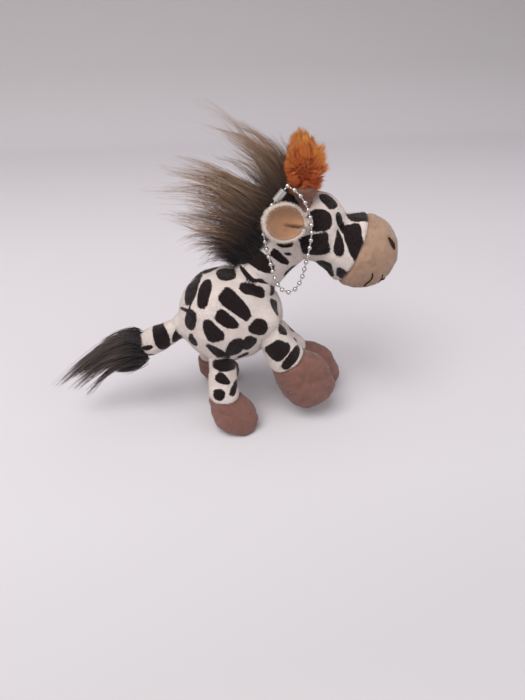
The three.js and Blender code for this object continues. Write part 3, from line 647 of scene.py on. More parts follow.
for name, (hip, swing, splay, leg) in LEGS.items():
    side = 1 if hip[1] > 0 else -1
    turn = about_y(-swing)
    radius, ankle, hoof, drop = (leg[key] for key in ("radius", "ankle", "hoof", "drop"))
    outline = dome(radius * (HIP_SWELL - LEG_TUCKED), [88, 62, 36, 8, -16, -31])
    outline += [(radius, -0.36 * ANKLE), ((radius + ankle) / 2, -0.68 * ANKLE), (ankle, -ANKLE + 0.5)]
    outline += [(ankle - 0.5, -ANKLE + LEG_TUCK), (ankle - 1.6, -ANKLE + 0.2), (0.1, -ANKLE + 0.2)]
    rings = leg_warp(lathe(outline, 96, 120), leg, side, splay)
    skin = lumpy(skin_of(rings @ turn.T + np.array(hip)), (0.2, 7, 21))
    lean = (-0.1, 0, -0.5)
    patches = LEG_PATCHES[name]
    made = cover(name + "_leg", skin, name, plush_material, *PLUSH_PILE, lean, patches, 7)
    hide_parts(name + "_leg_cover", name + "_leg_stuffing")

    top = -ANKLE - LEG_TUCK
    outline = [(0.1, top), (ankle - 1.4, top), (ankle - 0.2, top - 0.3)]
    for wide, down in ((0.92, 0.12), (1, 0.36), (0.98, 0.64), (0.88, 0.86), (0.7, 0.97), (0.48, 1.0)):
        outline.append((hoof * wide, top - drop * down))
    outline += [(hoof * 0.3, top - drop - 0.3), (0.1, top - drop - 0.4)]
    rings = cloven(leg_warp(lathe(outline, 110, 150), leg, 0, 0), leg)
    rings[..., 1] += side * splay * np.maximum(0, -rings[..., 2])
    skin = lumpy(skin_of(rings @ turn.T + np.array(hip)), (0.22, 6, 31), (0.08, 2.5, 32))
    made = cover(name + "_hoof", skin, name, hoof_material, *HOOF_PILE, (0, 0, -0.3))
    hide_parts(name + "_hoof")


# Neck
# A short stuffed tube of plush that leans forward, waisted halfway, with a
# rounded end sewn into the torso and one into the head.

NECK_WAIST, NECK_TOP = 8.3, 8.9
NECK_PATCHES = [
    (-4.4, -3.8, 84.6, 7.8, 3.3, -52, 3.0),
    (5.5, -8.1, 85.1, 4.4, 1.7, -39, 2.2, 0.3),
    (8.2, -8.5, 86.7, 1.5, 0.8, -12, 2.4),
    (7.1, -7.5, 90.5, 3.4, 1.7, -13, 2.4),
    (10, -4, 78.5, 3, 2.6, 20),
    (3, 8.2, 84, 4.4, 3.4, 30),
    (9, 6, 80, 2.8, 2.4, 0),
    (-3, 7.5, 78.5, 3.0, 2.4, 50),
]

outline = dome(NECK_TOP, [88, 64, 40, 16, -8], NECK_LONG) + [(NECK_WAIST, NECK_LONG * 0.46)]
outline += [(8.6, 5), (8.4, 2.4), (7.9, 0.6), (7.4, -2.5), (6.0, -5.5), (3.4, -7.4), (0.2, -8)]
skin = lumpy(skin_of(lathe(outline, 100, 130) @ neck_turn.T + NECK_AT), (0.2, 6, 41))
lean = (-0.2, 0, -0.4)
neck = cover("neck", skin, "neck", plush_material, *PLUSH_PILE, lean, NECK_PATCHES, 9)
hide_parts("neck_cover", "neck_stuffing")


# Tail
# A stuffed tube of plush that hangs from the rump, rounded at its end. Its
# tuft of dark hair is sewn on over the end and stands out behind it.

TAIL_DROOP, TAIL_LONG = 24, 20.6
TAIL_WAIST, TAIL_END = 4.7, 5.6
TAIL_PATCHES = [
    (-43.9, -4.6, 52.3, 5.9, 3.1, -80, 2.6),
    (-35.9, -4.7, 52.5, 4.8, 2.2, 65, 2.6),
    (-50, -5.2, 47.6, 2.6, 1.1, 15, 2.4),
    (-50.2, -3.6, 42.6, 2.7, 1.4, -8, 2.4),
    (-52.1, 1.7, 51.1, 1.2, 1.2, 0),
    (-41, 4.6, 50, 3.8, 2.6, 40),
    (-44, 0, 44.5, 3.4, 2.4, 0),
]

outline = dome(TAIL_BALL, [88, 60, 34, 8, -16, -32])
outline += [(TAIL_WAIST + 0.2, -0.4 * TAIL_LONG), (TAIL_END, -0.75 * TAIL_LONG)]
outline += [(TAIL_END * 0.9, -0.92 * TAIL_LONG), (TAIL_END * 0.5, -TAIL_LONG), (0.1, -TAIL_LONG - 0.3)]
skin = skin_of(lathe(outline, 96, 100) @ about_y(90 - TAIL_DROOP).T + TAIL_AT)
skin = lumpy(skin, (0.18, 5, 51))
lean = (-0.5, 0, 0)
tail = cover("tail", skin, "tail", plush_material, *PLUSH_PILE, lean, TAIL_PATCHES, 13)
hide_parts("tail_cover", "tail_stuffing")

HAIR_SPAN = 40.0


def strands(name, hairs, thick, steps, material, body, seed, curl):
    """Hairs of three sides that taper to a point. hairs are their roots, middles, tips, lengths, tones and
    clumps. Each runs p(t) = (1 - t)^2 root + 2t(1 - t) middle + t^2 tip up to t = length, waves by
    curl t sin(2 pi f t + a) with the rest of its clump and thins as thick (1 - t)^0.5. The number along is
    the way from the root in shares of HAIR_SPAN, and tone picks a lighter or darker hair."""
    *curves, clump = hairs
    roots, middles, tips, length, tone = (np.asarray(part, float) for part in curves)
    random = np.random.default_rng(seed)
    count, clumps = len(roots), clump.max() + 1
    run = np.linspace(0, 1, steps + 1)[None, :, None]
    t = run * length[:, None, None]
    line = (1 - t) ** 2 * roots[:, None] + 2 * t * (1 - t) * middles[:, None] + t**2 * tips[:, None]
    way = np.gradient(line, axis=1)
    way /= np.linalg.norm(way, axis=2, keepdims=True)
    ways = random.normal(size=(clumps, 3))
    first = np.cross(way, (ways[clump] + 0.35 * random.normal(size=(count, 3)))[:, None])
    first /= np.linalg.norm(first, axis=2, keepdims=True)
    second = np.cross(way, first)
    rate = random.uniform(0.5, 1.5, clumps)[clump] * random.uniform(0.85, 1.15, count)
    phase = random.uniform(0, 6.3, clumps)[clump] + random.normal(0, 0.35, count)
    wave = np.sin(2 * np.pi * t * rate[:, None, None] + phase[:, None, None])
    line = line + first * curl * wave * t * random.uniform(0.6, 1.3, (count, 1, 1))
    radius = thick * random.uniform(0.7, 1.2, (count, 1, 1)) * np.sqrt(np.maximum(1 - run, 0.02))
    turns = 2 * np.pi * np.arange(3) / 3
    rings = np.stack([line + radius * (first * math.cos(a) + second * math.sin(a)) for a in turns], axis=2)
    start = (np.arange(count) * (steps + 1) * 3)[:, None]
    i, j = np.meshgrid(np.arange(steps), np.arange(3), indexing="ij")
    beside = (j + 1) % 3
    one = np.stack([i * 3 + beside, (i + 1) * 3 + beside, (i + 1) * 3 + j, i * 3 + j], axis=-1)
    quads = (start[:, :, None] + one.reshape(1, -1, 4)).reshape(-1, 4)
    caps = np.concatenate([start + (0, 1, 2), start + steps * 3 + (2, 1, 0)])
    gone = t[..., 0] * np.linalg.norm(tips - roots, axis=1)[:, None] / HAIR_SPAN
    values = {"along": np.repeat(gone, 3), "tone": np.repeat(tone, (steps + 1) * 3)}
    made = mesh_piece(name, (rings.reshape(-1, 3), quads, caps), material, values)
    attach(made, body)
    return made


def hair(name, root_colour, dark_colour, light_colour, dark_to, rough=0.5):
    """Long pile: the root's colour runs into a dark or a light one by dark_to of HAIR_SPAN, lighter by the
    hair's tone and towards its tip, with flecks along it."""
    material, tree = new_material(name)
    along = add(tree, "ShaderNodeAttribute", attribute_name="along").outputs["Fac"]
    tone = add(tree, "ShaderNodeAttribute", attribute_name="tone").outputs["Fac"]
    place = add(tree, "ShaderNodeTexCoord").outputs["Object"]
    fleck = add(tree, "ShaderNodeTexNoise", {"Vector": place, "Scale": 700.0, "Detail": 2.0}).outputs["Fac"]
    paler = maths(tree, "MULTIPLY_ADD", along, 0.4, maths(tree, "MULTIPLY_ADD", fleck, 0.5, -0.45))
    pick = maths(tree, "ADD", paler, tone, use_clamp=True)
    outer = {"Factor": pick, "A": dark_colour, "B": light_colour}
    outer = add(tree, "ShaderNodeMix", outer, data_type="RGBA").outputs["Result"]
    grown = {"Value": along, "From Min": dark_to * 0.25, "From Max": dark_to}
    grown = add(tree, "ShaderNodeMapRange", grown).outputs[0]
    whole = {"Factor": grown, "A": root_colour, "B": outer}
    whole = add(tree, "ShaderNodeMix", whole, data_type="RGBA").outputs["Result"]
    surface(tree, {"Base Color": whole, "Roughness": rough, "Specular IOR Level": 0.3, "Sheen Weight": 0.1})
    return material


def lock_hairs(locks, spread_root, spread_tip, count, seed, shortest, strings, loose, reach=1.0):
    """Hairs gathered into locks. A lock's root, middle and tip are each (x, z), before its share of them. It
    parts into strings that end apart; a string's hairs scatter about its root, close in on its tip and stop
    short by chance, up to reach of the whole length. A loose share of the hairs scatters all the way."""
    random = np.random.default_rng(seed)
    spread_root, spread_tip = np.asarray(spread_root), np.asarray(spread_tip)
    shares = np.array([lock[3] for lock in locks], float)
    lock = np.repeat(np.arange(len(locks)), strings)
    ends = ([(row[k][0], 0, row[k][1]) for row in locks] for k in range(3))
    root, middle, tip = (np.array(end, float)[lock] for end in ends)
    aside = random.normal(size=tip.shape)
    root = root + aside[::-1] * spread_root * 0.5
    middle = middle + aside * spread_tip * 0.45
    tip = tip + aside * spread_tip
    ends = random.uniform(0.8, 1.04, len(lock))
    string = random.choice(len(lock), count, p=(shares[lock] / shares[lock].sum()))
    apart = np.where(random.uniform(size=(count, 1)) < loose, 1.0, 0.08)
    tips = tip[string] + random.normal(size=(count, 3)) * spread_tip * apart
    offset = random.normal(size=(count, 3)) * spread_root
    middles = middle[string] + offset * 0.45 + random.normal(size=(count, 3)) * spread_tip * apart * 0.6
    length = (shortest + (1 - shortest) * random.uniform(size=count) ** 0.7) * ends[string] * reach
    tone = random.normal(0.45, 0.2, count) + random.uniform(-0.2, 0.2, len(lock))[string]
    return root[string] + offset, middles, tips, length, np.clip(tone, 0, 1), string


tail_hair = hair("tail_hair", colour(34, 27, 29), colour(62, 52, 53), colour(122, 106, 100), dark_to=0.4)
TAIL_LOCKS = [
    ((-52.8, 50.6), (-60, 57), (-89.8, 30.2), 1.2),
    ((-52.6, 49), (-62, 53), (-88, 31), 1.2),
    ((-52.4, 47.4), (-64, 49), (-87, 30), 1.2),
    ((-52.2, 45.8), (-66, 45), (-84, 31), 1.1),
    ((-52, 44.2), (-66, 42), (-80, 33.5), 1.1),
    ((-51.6, 42.6), (-64, 36), (-76, 36), 1.1),
    ((-51.2, 41), (-60, 31), (-70, 38), 1.1),
    ((-52.4, 44), (-71, 40), (-87, 23.3), 0.3),
    ((-52, 42), (-66, 38), (-80.9, 20.2), 0.45),
    ((-52.8, 50), (-62, 56), (-72, 44), 0.3),
]
TAIL_HAIRS, TAIL_HAIR_THICK = 2700, 0.125
spreads = ((0.7, 2.4, 0.7), (0.9, 1.4, 0.9))
hairs = lock_hairs(TAIL_LOCKS, *spreads, TAIL_HAIRS, 61, shortest=0.5, strings=4, loose=0.5)
tuft = strands("tail_tuft_hair", hairs, TAIL_HAIR_THICK, 10, tail_hair, "tail", 62, curl=0.5)
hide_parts("tail_tuft")


# Head and muzzle
# The stuffed head is patterned plush with a plain tan muzzle sewn on before
# it. Skull, jaw and snout run into each other, and the seam draws them in.

HEAD_AT = np.array([21.3, 0, 94.1])
HEAD_TURN = -12
SKULL_HALF = np.array([12.6, 12.3, 13.4])
SNOUT_AT, SNOUT = np.array([18.7, 0, -10]), 15.0
JAW_AT, JAW_HALF = np.array([8.6, 0, -7.2]), np.array([10, 11.6, 10.4])
HEAD_RUN_IN = 0.9
SEAM_BACK, SEAM_PITCH = 3.6, 22
SEAM_DEEP, SEAM_HALF = 0.8, 0.055
SEAM_GAP = 0.012  # each cover stops at this angle from the seam
MUZZLE_PILE = (13, 0.45)
muzzle_material = plush("muzzle_plush", colour(163, 132, 111), fineness=1300.0, mottle=0.7)
HEAD_PATCHES = [
    (19.8, -10.9, 100.2, 4.8, 4.2, -4, 2.1),
    (24.4, -4.7, 105.8, 3.7, 3.2, -50, 2.6, -0.2),
    (17.4, -11, 90.1, 6.6, 4.6, 16, 3.2, -0.3),
    (33.3, -13.8, 92.2, 7.5, 3.1, -85, 3.6, 0.2),
    (29.7, -9.3, 96.1, 2.5, 1.6, -58, 2.4),
    (27.4, -12.5, 91.4, 4.9, 1.7, -89, 2.2, -0.5),
    (37.6, -4.2, 98, 5, 4.4, -9, 2.3),
    (24.1, -7, 78.9, 4.2, 5.4, 25, 2.6, -0.2),
    (29.4, -13.4, 79.1, 2.4, 3.2, 15, 2.4),
    (10.8, -8.4, 88.5, 3.9, 2.0, 14, 2.4),
    (24, 5, 105, 3.4, 3.8, 30),
    (24, 12, 97, 4.6, 3.6, 60),
    (16, 11, 101, 3.4, 4.2, 0),
    (28, 12, 90, 3.2, 4.6, 80),
    (18, 11, 88, 4.2, 3.4, 20),
    (26, 6, 80, 4.0, 3.2, -20),
    (10, 3, 99, 3.0, 3.0, 0),
]


def about_z(degrees):
    """The turn about Z by that angle, as a matrix for columns."""
    c, s = math.cos(math.radians(degrees)), math.sin(math.radians(degrees))
    return np.array([[c, -s, 0], [s, c, 0], [0, 0, 1]])


def in_head(points):
    """From the head's own axes to the pattern's: turned by the head's turn and moved to its place."""
    return np.asarray(points, float) @ about_z(HEAD_TURN).T + HEAD_AT


def head_depth(points):
    """How far outside the head a point is: the blended depths of the skull, the jaw and the snout."""
    eggs = ((0, SKULL_HALF), (JAW_AT, JAW_HALF), (SNOUT_AT, np.full(3, SNOUT)))
    return blended([egg_depth(points, centre, half) for centre, half in eggs], HEAD_RUN_IN)


seam_axes = about_y(SEAM_PITCH).T
seam_at = SNOUT_AT - seam_axes[0] * SEAM_BACK


def head_part(name, angles, sides, lumps, material, dense, long, patches=None, seed=0):
    """One of the head's two covers, ring by ring at angles from straight ahead of the seam's middle: each
    point is where a ray from there leaves the head, drawn in by deep exp(-(a / half)^2) at an angle a from
    the seam."""
    ways = rays(angles, sides, seam_axes)
    drawn = SEAM_DEEP * np.exp(-(((angles - np.pi / 2) / SEAM_HALF) ** 2))[:, None]
    rings = seam_at + ways * (cast(head_depth, seam_at, ways, 48) - drawn)[..., None]
    # Three smaller rings at the seam end the skin. The head's own follow its
    # back, so that a cone of cloth inside it, out of sight, joins the two.
    seam = rings[np.argmin(np.abs(angles - np.pi / 2))]
    inner = [seam_at + (seam - seam_at) * share for share in (0.8, 0.4, 0.02)]
    skin = lumpy(skin_of(in_head(np.array([*rings, *inner]))), *lumps)
    return cover(name, skin, "head", material, dense, long, (-0.2, 0, -0.2), patches, seed)


angles = np.linspace(np.pi / 2 + SEAM_GAP, np.pi - 0.01, 150)
lumps = ((0.2, 7, 71), (0.08, 3, 72))
head = head_part("head", angles, 260, lumps, plush_material, *PLUSH_PILE, HEAD_PATCHES, 17)
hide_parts("head_cover", "head_stuffing")
angles = np.linspace(0.01, np.pi / 2 - SEAM_GAP, 90)
lumps = ((0.2, 7, 81), (0.08, 3, 82))
muzzle = head_part("muzzle", angles, 220, lumps, muzzle_material, *MUZZLE_PILE)
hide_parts("muzzle_cover")


# Eyes and stitches
# Two small upright beads of gloss black plastic are sewn into the head. The
# nostrils and the mouth are stitched in dark thread on the muzzle.

EYE_AT, EYE_HALF, EYE_LEAN = np.array([8.4, 7.9, 5.2]), np.array([1.3, 1.8, 3.3]), -13
eye_material, tree = new_material("eye_plastic")
surface(tree, {"Base Color": colour(8, 7, 9), "Roughness": 0.16, "Specular IOR Level": 0.3})


def egg(half, rings, sides):
    """Rings of an egg about Z: half (sin t cos f, sin t sin f, cos t)."""
    return np.asarray(half) * rays(np.linspace(0, np.pi, rings + 2)[1:-1], sides, np.eye(3)[[2, 0, 1]])


for name, side in (("right", -1), ("left", 1)):
    rings = egg(EYE_HALF, 30, 40) @ about_y(EYE_LEAN).T + EYE_AT * (1, side, 1)
    eye = mesh_piece("eye_" + name + "_bead", skin_of(in_head(rings)), eye_material)
    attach(eye, "head")
    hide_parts("eye_" + name)

# Angles on the snout, in degrees. A nostril's row is (aside, from, to).
NOSTRIL_SPREAD, NOSTRIL_RISE = 37, 25
NOSTRIL_ROWS = ((-3.6, -2, 7), (-1.8, -7, 9), (0, -10, 10), (1.8, -11, 6))
MOUTH_DROP, MOUTH_SPAN, MOUTH_CURVE = 43, 46, 8
MOUTH_ENDS = (((80, 50), (79, 40), (74, 24), (76, 14)), ((43, 47), (46, 40), (52, 27), (55, 20)))
THREAD_PROUD, THREAD_SUNK = 0.1, -0.06
PLY_DEEP, PLY_TWIST = 0.14, 4.0
thread_material, tree = new_material("dark_thread")
surface(tree, {"Base Color": colour(50, 30, 18), "Roughness": 0.8, "Specular IOR Level": 0.2})


def on_snout(yaw, pitch, out):
    """A point on the snout's ball, yaw round from straight ahead and pitch down, out millimetres proud."""
    way = about_z(yaw) @ about_y(pitch) @ np.array([1.0, 0, 0])
    return SNOUT_AT + way * (SNOUT + out)


def tube(path, size, beside):
    """Rings of a tube: path + size (cos f first + sin f second), where first is across both the path and
    beside, second is across the path and first, and size[i, j] is the radius."""
    way = np.gradient(path, axis=0)
    way /= np.linalg.norm(way, axis=1)[:, None]
    first = np.cross(way, beside)
    first /= np.linalg.norm(first, axis=1)[:, None]
    second = np.cross(way, first)
    turn = around(size.shape[1])
    ring = first[:, None] * (size * np.cos(turn))[..., None]
    return path[:, None] + ring + second[:, None] * (size * np.sin(turn))[..., None]


def joined(skins):
    """Many skins as one shape: all their points, and their faces counted on from the points before."""
    starts = np.cumsum([0] + [len(skin[0]) for skin in skins[:-1]])
    faces = [np.concatenate([skin[k] + start for skin, start in zip(skins, starts)]) for k in (1, 2)]
    return np.concatenate([skin[0] for skin in skins]), *faces


def thread(name, lines, radius):
    """Yarn along each line of points: a round section of 10 sides with rounded ends, whose radius takes
    1 + 0.14 sin(3 f + 4 d) at about d millimetres along, to show its ply."""
    skins = []
    for line in lines:
        steps = max(8, int(6 * np.linalg.norm(np.diff(line, axis=0), axis=1).sum()))
        run = np.linspace(0, 1, steps)
        ends = np.clip(np.minimum(run, 1 - run) * steps / 2.5, 0.25, 1) ** 0.5
        ply = 1 + PLY_DEEP * np.sin(3 * around(10)[None] + run[:, None] * steps * PLY_TWIST / 6)
        rings = tube(curve_through(line, steps), (radius * ends)[:, None] * ply, (0.31, 0.52, 0.79))
        skins.append(skin_of(rings))
    return mesh_piece(name, joined(skins), thread_material)


for name, side in (("right", -1), ("left", 1)):
    lines = []
    for row, start, end in NOSTRIL_ROWS:
        slit = []
        for pitch in (start, (start + end) / 2, end):
            yaw = side * (NOSTRIL_SPREAD + row - 0.25 * pitch)
            slit.append(on_snout(yaw, pitch - NOSTRIL_RISE, THREAD_PROUD))
        lines.append(in_head(slit))
    stitches = thread("nostril_" + name + "_thread", lines, 0.36)
    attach(stitches, "head")
    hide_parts("nostril_stitches_" + name)

smile = np.linspace(-1, 1, 15)
smile = [on_snout(k * MOUTH_SPAN, MOUTH_DROP - MOUTH_CURVE * k * k, THREAD_PROUD) for k in smile]
lines = [in_head(smile)]
for side in (-1, 1):
    for end in MOUTH_ENDS:
        lines.append(in_head([on_snout(side * yaw, pitch, THREAD_SUNK) for yaw, pitch in end]))
stitches = thread("mouth_thread", lines, 0.34)
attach(stitches, "head")
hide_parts("mouth_stitches")


# Horns
# Each horn is a stuffed brown stalk that widens upwards, under a bushy tuft
# of long pile, yellow-orange above and redder below, with loose ends.

HORN_AT, HORN_LEAN = np.array([-4.6, 6.2, 11]), -7
STALK_FOOT, STALK_TOP, STALK_TALL = 2.2, 4.9, 6.0
TUFT_HALF, TUFT_SINK = np.array([6.9, 5.3, 11.2]), 3.4
TUFT_CORE = TUFT_HALF * (0.42, 0.42, 0.66)
TUFT_HAIRS, TUFT_CLUMPS, TUFT_HAIR_THICK = 4300, 90, 0.127
STALK_PILE = (10, 0.8)
stalk_material = plush("stalk_plush", colour(138, 98, 84), fineness=1700.0)
tuft_colours = (colour(204, 98, 46), colour(232, 114, 50), colour(255, 196, 98))
tuft_material = hair("horn_hair", *tuft_colours, dark_to=0.13, rough=0.7)


def in_horn(points, side):
    """From a horn's own axes to the pattern's: leaned back and moved to its place on the head."""
    return in_head(points @ about_y(HORN_LEAN).T + HORN_AT * (1, side, 1))


def tuft_hairs(side):
    """The tuft's hairs, from roots on a core to tips at half (0.36 clump's end + 0.64 own way), which are
    1.12 - 0.34 h times as far out at a height h of -1 to 1. Clumps that face forward flick up."""
    random = np.random.default_rng(91 + side)
    ways = random.normal(size=(TUFT_HAIRS, 3))
    ways /= np.linalg.norm(ways, axis=1)[:, None]
    heads = random.normal(size=(TUFT_CLUMPS, 3))
    heads /= np.linalg.norm(heads, axis=1)[:, None]
    clump = np.argmax(ways @ heads.T, axis=1)
    flick = np.clip(heads[:, 0] * 2 - 0.9, 0, 1) * (np.abs(heads[:, 2]) < 0.45)
    ends = heads * random.uniform(0.86, 1.1, (TUFT_CLUMPS, 1)) * (1 - 0.05 * np.maximum(0, heads[:, 2:]))
    roots = tuft_at + TUFT_CORE * ways - (0, 0, 0.8)
    tips = tuft_at + TUFT_HALF * (0.36 * ends[clump] + 0.64 * ways)
    tips = tips + random.normal(size=(TUFT_HAIRS, 3)) * 0.4
    tips = tips + flick[clump, None] * (1.8, 0, 1.6) + (0, 0, 0.5)
    tips[:, :2] *= 1.12 - 0.34 * np.clip((tips[:, 2:] - tuft_at[2]) / TUFT_HALF[2], -1, 1)
    tips[:, 2] = np.maximum(tips[:, 2], STALK_TALL - 3.6)
    middles = (roots + tips) / 2 + ways * (1.1, 1.1, 0.3) - (0, 0, 1.3)
    tone = (tips[:, 2] - STALK_TALL) / (1.5 * TUFT_HALF[2]) + random.normal(0, 0.16, TUFT_HAIRS)
    length = random.uniform(0.66, 1, TUFT_HAIRS)
    curves = (in_horn(points, side) for points in (roots, middles, tips))
    return *curves, length, np.clip(tone, 0, 1), clump


tuft_at = np.array([0.5, 0, STALK_TALL + TUFT_HALF[2] - TUFT_SINK])
outline = [(0.1, -3), (STALK_FOOT, -2.6), (STALK_FOOT, 0), (STALK_TOP, STALK_TALL)]
outline += [(STALK_TOP * 0.8, STALK_TALL + 1), (0.1, STALK_TALL + 1.4)]
for name, side in (("right", -1), ("left", 1)):
    skin = skin_of(in_horn(lathe(outline, 40, 60), side))
    stalk = cover("horn_stalk_" + name, skin, "head", stalk_material, *STALK_PILE, (0, 0, 0.2))
    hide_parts("horn_stalk_" + name)
    part = "horn_tuft_" + name
    hairs = tuft_hairs(side)
    tuft = strands(part + "_hair", hairs, TUFT_HAIR_THICK, 6, tuft_material, "head", 97 + side, curl=0.9)
    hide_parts(part)
    skin = skin_of(in_horn(egg(TUFT_CORE * 1.1, 24, 36) + tuft_at, side))
    values = {"along": np.full(len(skin[0]), 0.2), "tone": np.full(len(skin[0]), 0.4)}
    inner = mesh_piece(part + "_core", skin, tuft_material, values)
    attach(inner, "head")


# Ears
# Each ear is a cupped leaf of cream plush with a rolled rim, lined in tan and
# pinched together at its short root.

EAR_ROOT = np.array([-3.9, 12.7, 5.6])
EAR_OUT, EAR_LIFT = 26, 10
EAR_LONG, EAR_TALL, EAR_CUP = 9.0, 7.1, 2.2
EAR_STEM, EAR_STEM_R, EAR_STEM_SUNK = 2.7, 1.5, 1.2
CREASE_DEEP, CREASE_HALF = 1.7, 0.55
LIP_TALL, LIP_HALF, LIP_ABOVE = 0.8, 1.1, 1.4
EAR_LEAF = [(0.01, -EAR_CUP), (0.55, -0.8 * EAR_CUP), (0.88, -0.5), (0.99, 0.5), (0.98, 1.2), (0.92, 1.4)]
EAR_LEAF += [(0.86, 0.9), (0.7, 0.1), (0.3, -0.9), (0.01, -1.0)]
EAR_BED = [(0.01, -0.9), (0.3, -0.8), (0.68, 0.1), (0.86, 1.0), (0.83, 1.2), (0.66, 0.4), (0.28, -0.6)]
EAR_BED += [(0.01, -0.7)]
LEAF_HAIRY = 0.72  # the share of the leaf's faces that the lining leaves free
LEAF_PILE, LINING_PILE = (18, 1.1), (9, 0.5)
rim_material = plush("ear_rim_plush", colour(214, 200, 190))
lining_material = plush("ear_lining_plush", colour(162, 121, 92), mottle=0.5)


def in_ear(points, side):
    """From an ear's own axes to the pattern's. They run out along the leaf, across it and the way its lining
    faces, each the cross product of the other two, and stand at the ear's root."""
    out = np.array([-math.cos(math.radians(EAR_OUT)), side * math.sin(math.radians(EAR_OUT)), 0])
    out = about_y(EAR_LIFT) @ out
    rise = np.array([0.133, -side * 0.31, 0.935])
    facing = np.cross(rise, out) * -side
    facing /= np.linalg.norm(facing)
    axes = np.stack([out, np.cross(facing, out), facing], axis=1)
    return in_head(points @ axes.T + EAR_ROOT * (1, side, 1))


def ear_rings(profile, rings, sides, down):
    """Rings of the leaf about its middle, from a profile of (share of the rim, height): an oval cup, turned
    narrow and up at its edges towards its root, with a crease deep exp(-(d / half)^2) along its fold and a
    lip of the same kind above it. down is the sign of y below the middle."""
    line = curve_through(profile, rings)
    turn = around(sides)
    x = line[:, :1] * EAR_LONG * np.cos(turn)
    y = line[:, :1] * EAR_TALL * np.sin(turn)
    inward = np.clip(-x / EAR_LONG, 0, 1)
    rooted = inward**2
    z = line[:, 1:] + 1.8 * rooted * np.abs(y) / EAR_TALL + 0.35 * np.sin(3 * turn) * line[:, :1] ** 3
    folded = np.clip(-x / EAR_LONG * 1.6 + 0.15, 0, 1)
    below = y * down - 1.0 - 0.9 * inward
    z = z - CREASE_DEEP * folded * np.exp(-((below / CREASE_HALF) ** 2))
    z = z + LIP_TALL * folded * np.exp(-(((below + LIP_ABOVE) / LIP_HALF) ** 2))
    y = y * (1 - 0.12 * rooted)
    return np.stack([x + EAR_STEM + EAR_LONG * 0.94 - 1.2, y, z], axis=-1)


run = np.linspace(-EAR_STEM_SUNK, EAR_STEM - 0.8, 12)[:, None]
wide = EAR_STEM_R * (1.5 - 0.45 * (run + EAR_STEM_SUNK) / (EAR_STEM + 0.4))
turn = around(24)
stem = np.stack([run + 0 * turn, wide * np.cos(turn), wide * np.sin(turn)], axis=-1)
for name, side in (("right", -1), ("left", 1)):
    body = "ear_" + name
    skin = skin_of(in_ear(ear_rings(EAR_LEAF, 80, 150, -side), side))
    hairy = np.arange(len(skin[1])) <= LEAF_HAIRY * len(skin[1])
    ear = cover(body, skin, body, rim_material, *LEAF_PILE, (0, 0, 0), keep=hairy)
    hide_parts(body)
    skin = skin_of(in_ear(ear_rings(EAR_BED, 60, 150, -side), side))
    lining = cover(body + "_lining", skin, body, lining_material, *LINING_PILE, (0, 0, 0))
    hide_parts("ear_lining_" + name)
    root = mesh_piece(body + "_root", skin_of(in_ear(stem, side)), rim_material)
    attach(root, body)


# Mane
# Long dark hair sewn into the seam down the back of the head and the neck. It
# stands up and back in locks that end in points, lighter brown at their tips.

mane_hair = hair("mane_hair", colour(24, 15, 17), colour(116, 83, 63), colour(196, 164, 136), dark_to=0.6)
CROWN_LOCKS = [
    ((13, 104), (9, 128), (-21.6, 133.3), 1.2),
    ((12.4, 103.4), (7, 125), (-14.4, 131.4), 0.9),
    ((11.6, 102.6), (3, 121), (-24.5, 135.6), 1.0),
    ((10.8, 102), (1, 117), (-17, 128), 0.9),
    ((9.8, 101), (-1, 116), (-19.5, 127), 1.0),
    ((9, 100.2), (-4, 113), (-28, 121), 0.8),
]
NECK_LOCKS = [
    ((6.4, 95.3), (-5, 118), (-38, 123), 1.3),
    ((5.6, 94.5), (-4, 112), (-27.7, 120.8), 0.9),
    ((4.4, 93.3), (-12, 116), (-40.3, 115), 1.3),
    ((3.4, 92.3), (-9, 110), (-37.6, 113.5), 1.0),
    ((2, 90.9), (-12, 109), (-31.6, 109), 1.0),
    ((0.6, 89.5), (-14, 106), (-32.6, 106), 1.0),
    ((-0.8, 88.1), (-15, 104), (-37.7, 102.5), 1.2),
    ((-2.2, 86.7), (-15, 99), (-41, 99), 1.2),
    ((-3.6, 85.3), (-15, 96.5), (-33.5, 95.5), 1.0),
    ((-5, 83.9), (-19, 97), (-32.2, 89), 1.1),
    ((-6.4, 82.5), (-17, 93), (-28, 86.7), 1.0),
    ((-7.6, 81.3), (-18, 92), (-23.7, 82), 0.9),
    ((-8.4, 80.5), (-16, 89), (-20.6, 80.2), 0.8),
]
MANE_THICK, UNDERHAIR_THICK = 0.075, 0.09
manes = ((CROWN_LOCKS, "head", "mane_crown", 1000), (NECK_LOCKS, "neck", "mane_neck", 2200))
for locks, body, part, count in manes:
    seed = 100 + count // 100
    spreads = ((1.5, 1.6, 1.5), (2.6, 2.4, 2.6))
    hairs = lock_hairs(locks, *spreads, count, seed, shortest=0.4, strings=4, loose=0.05)
    outer = strands(part + "_hair", hairs, MANE_THICK, 13, mane_hair, body, seed + 1, curl=2.6)
    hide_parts(part)
    spreads = ((1.2, 1.6, 1.2), (6, 2.6, 6))
    under = count * 19 // 10
    hairs = lock_hairs(locks, *spreads, under, seed + 2, shortest=0.3, strings=5, loose=1, reach=0.5)
    strands(part + "_underhair", hairs, UNDERHAIR_THICK, 6, mane_hair, body, seed + 3, curl=2.0)


# Ball chain, connector and ribbon
# Nickel-plated hollow beads on short wires, their two ends pressed into a
# slit tube. A dark brown ribbon looped round the chain is sewn into the crown.

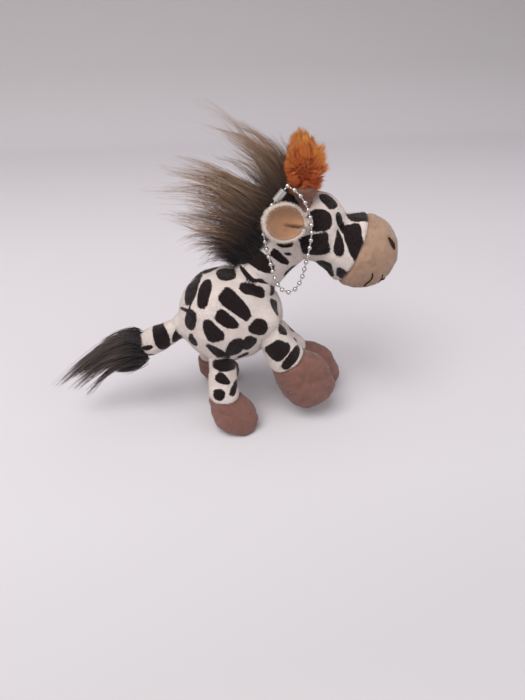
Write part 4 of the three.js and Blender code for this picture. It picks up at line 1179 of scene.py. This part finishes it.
BEAD, WIRE, PITCH = 0.9, 0.32, 2.9
CONNECTOR_AT, CONNECTOR_TILT = np.array([4.3, -11.2, 110.4]), 50
CHAIN_ROUTE = [
    (9.4, -12.2, 112.4), (12.6, -13.5, 109), (14.8, -14.2, 104), (15.9, -14.5, 97.4),
    (15.4, -14.6, 91), (14.2, -14.8, 85), (12.6, -15.2, 78.6), (10, -15.3, 74.4),
    (7, -15.3, 73.6), (3.8, -15.1, 76.4), (1.7, -14.6, 81.4), (0.4, -13.6, 86.5),
    (-0.8, -12.2, 92), (-1.8, -11.4, 98), (-1.6, -11.1, 103.2),
]

nickel, tree = new_material("nickel")
place = add(tree, "ShaderNodeTexCoord").outputs["Object"]
smear = add(tree, "ShaderNodeTexNoise", {"Vector": place, "Scale": 400.0, "Detail": 3.0}).outputs["Fac"]
rough = add(tree, "ShaderNodeMapRange", {"Value": smear, "To Min": 0.16, "To Max": 0.34}).outputs[0]
surface(tree, {"Base Color": colour(196, 192, 188), "Metallic": 1.0, "Roughness": rough})

tilt = math.radians(CONNECTOR_TILT)
tilt = np.array([math.cos(tilt), 0, math.sin(tilt)])
leaves, enters = ([CONNECTOR_AT + tilt * k * PITCH for k in ends] for ends in ((0.5, 1.5), (-1.5, -0.5)))
route = [*leaves, *CHAIN_ROUTE, *enters]
fine = curve_through(route, 2000)
links = round(float(np.linalg.norm(np.diff(fine, axis=0), axis=1).sum()) / PITCH)
beads = curve_through(route, links + 1)

skins = [skin_of(egg((BEAD,) * 3, 14, 20) + at) for at in beads]
for a, b in zip(beads[:-1], beads[1:]):
    path = np.array([a + (b - a) * t for t in (0.2, 0.5, 0.8)])
    skins.append(skin_of(tube(path, np.full((3, 10), WIRE), (0.2, 0.9, 0.3))))
chain = mesh_piece("ball_chain_beads", joined(skins), nickel)
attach(chain, "chain")
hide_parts("ball_chain")

# The connector keeps its own mesh and takes the same plating.
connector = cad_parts["chain_connector"]
connector.data.materials.clear()
connector.data.materials.append(nickel)

ribbon_material, tree = new_material("ribbon_satin")
surface(tree, {"Base Color": colour(44, 31, 28), "Roughness": 0.85, "Specular IOR Level": 0.1})
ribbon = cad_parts["hang_ribbon"]
ribbon.data.materials.clear()
ribbon.data.materials.append(ribbon_material)
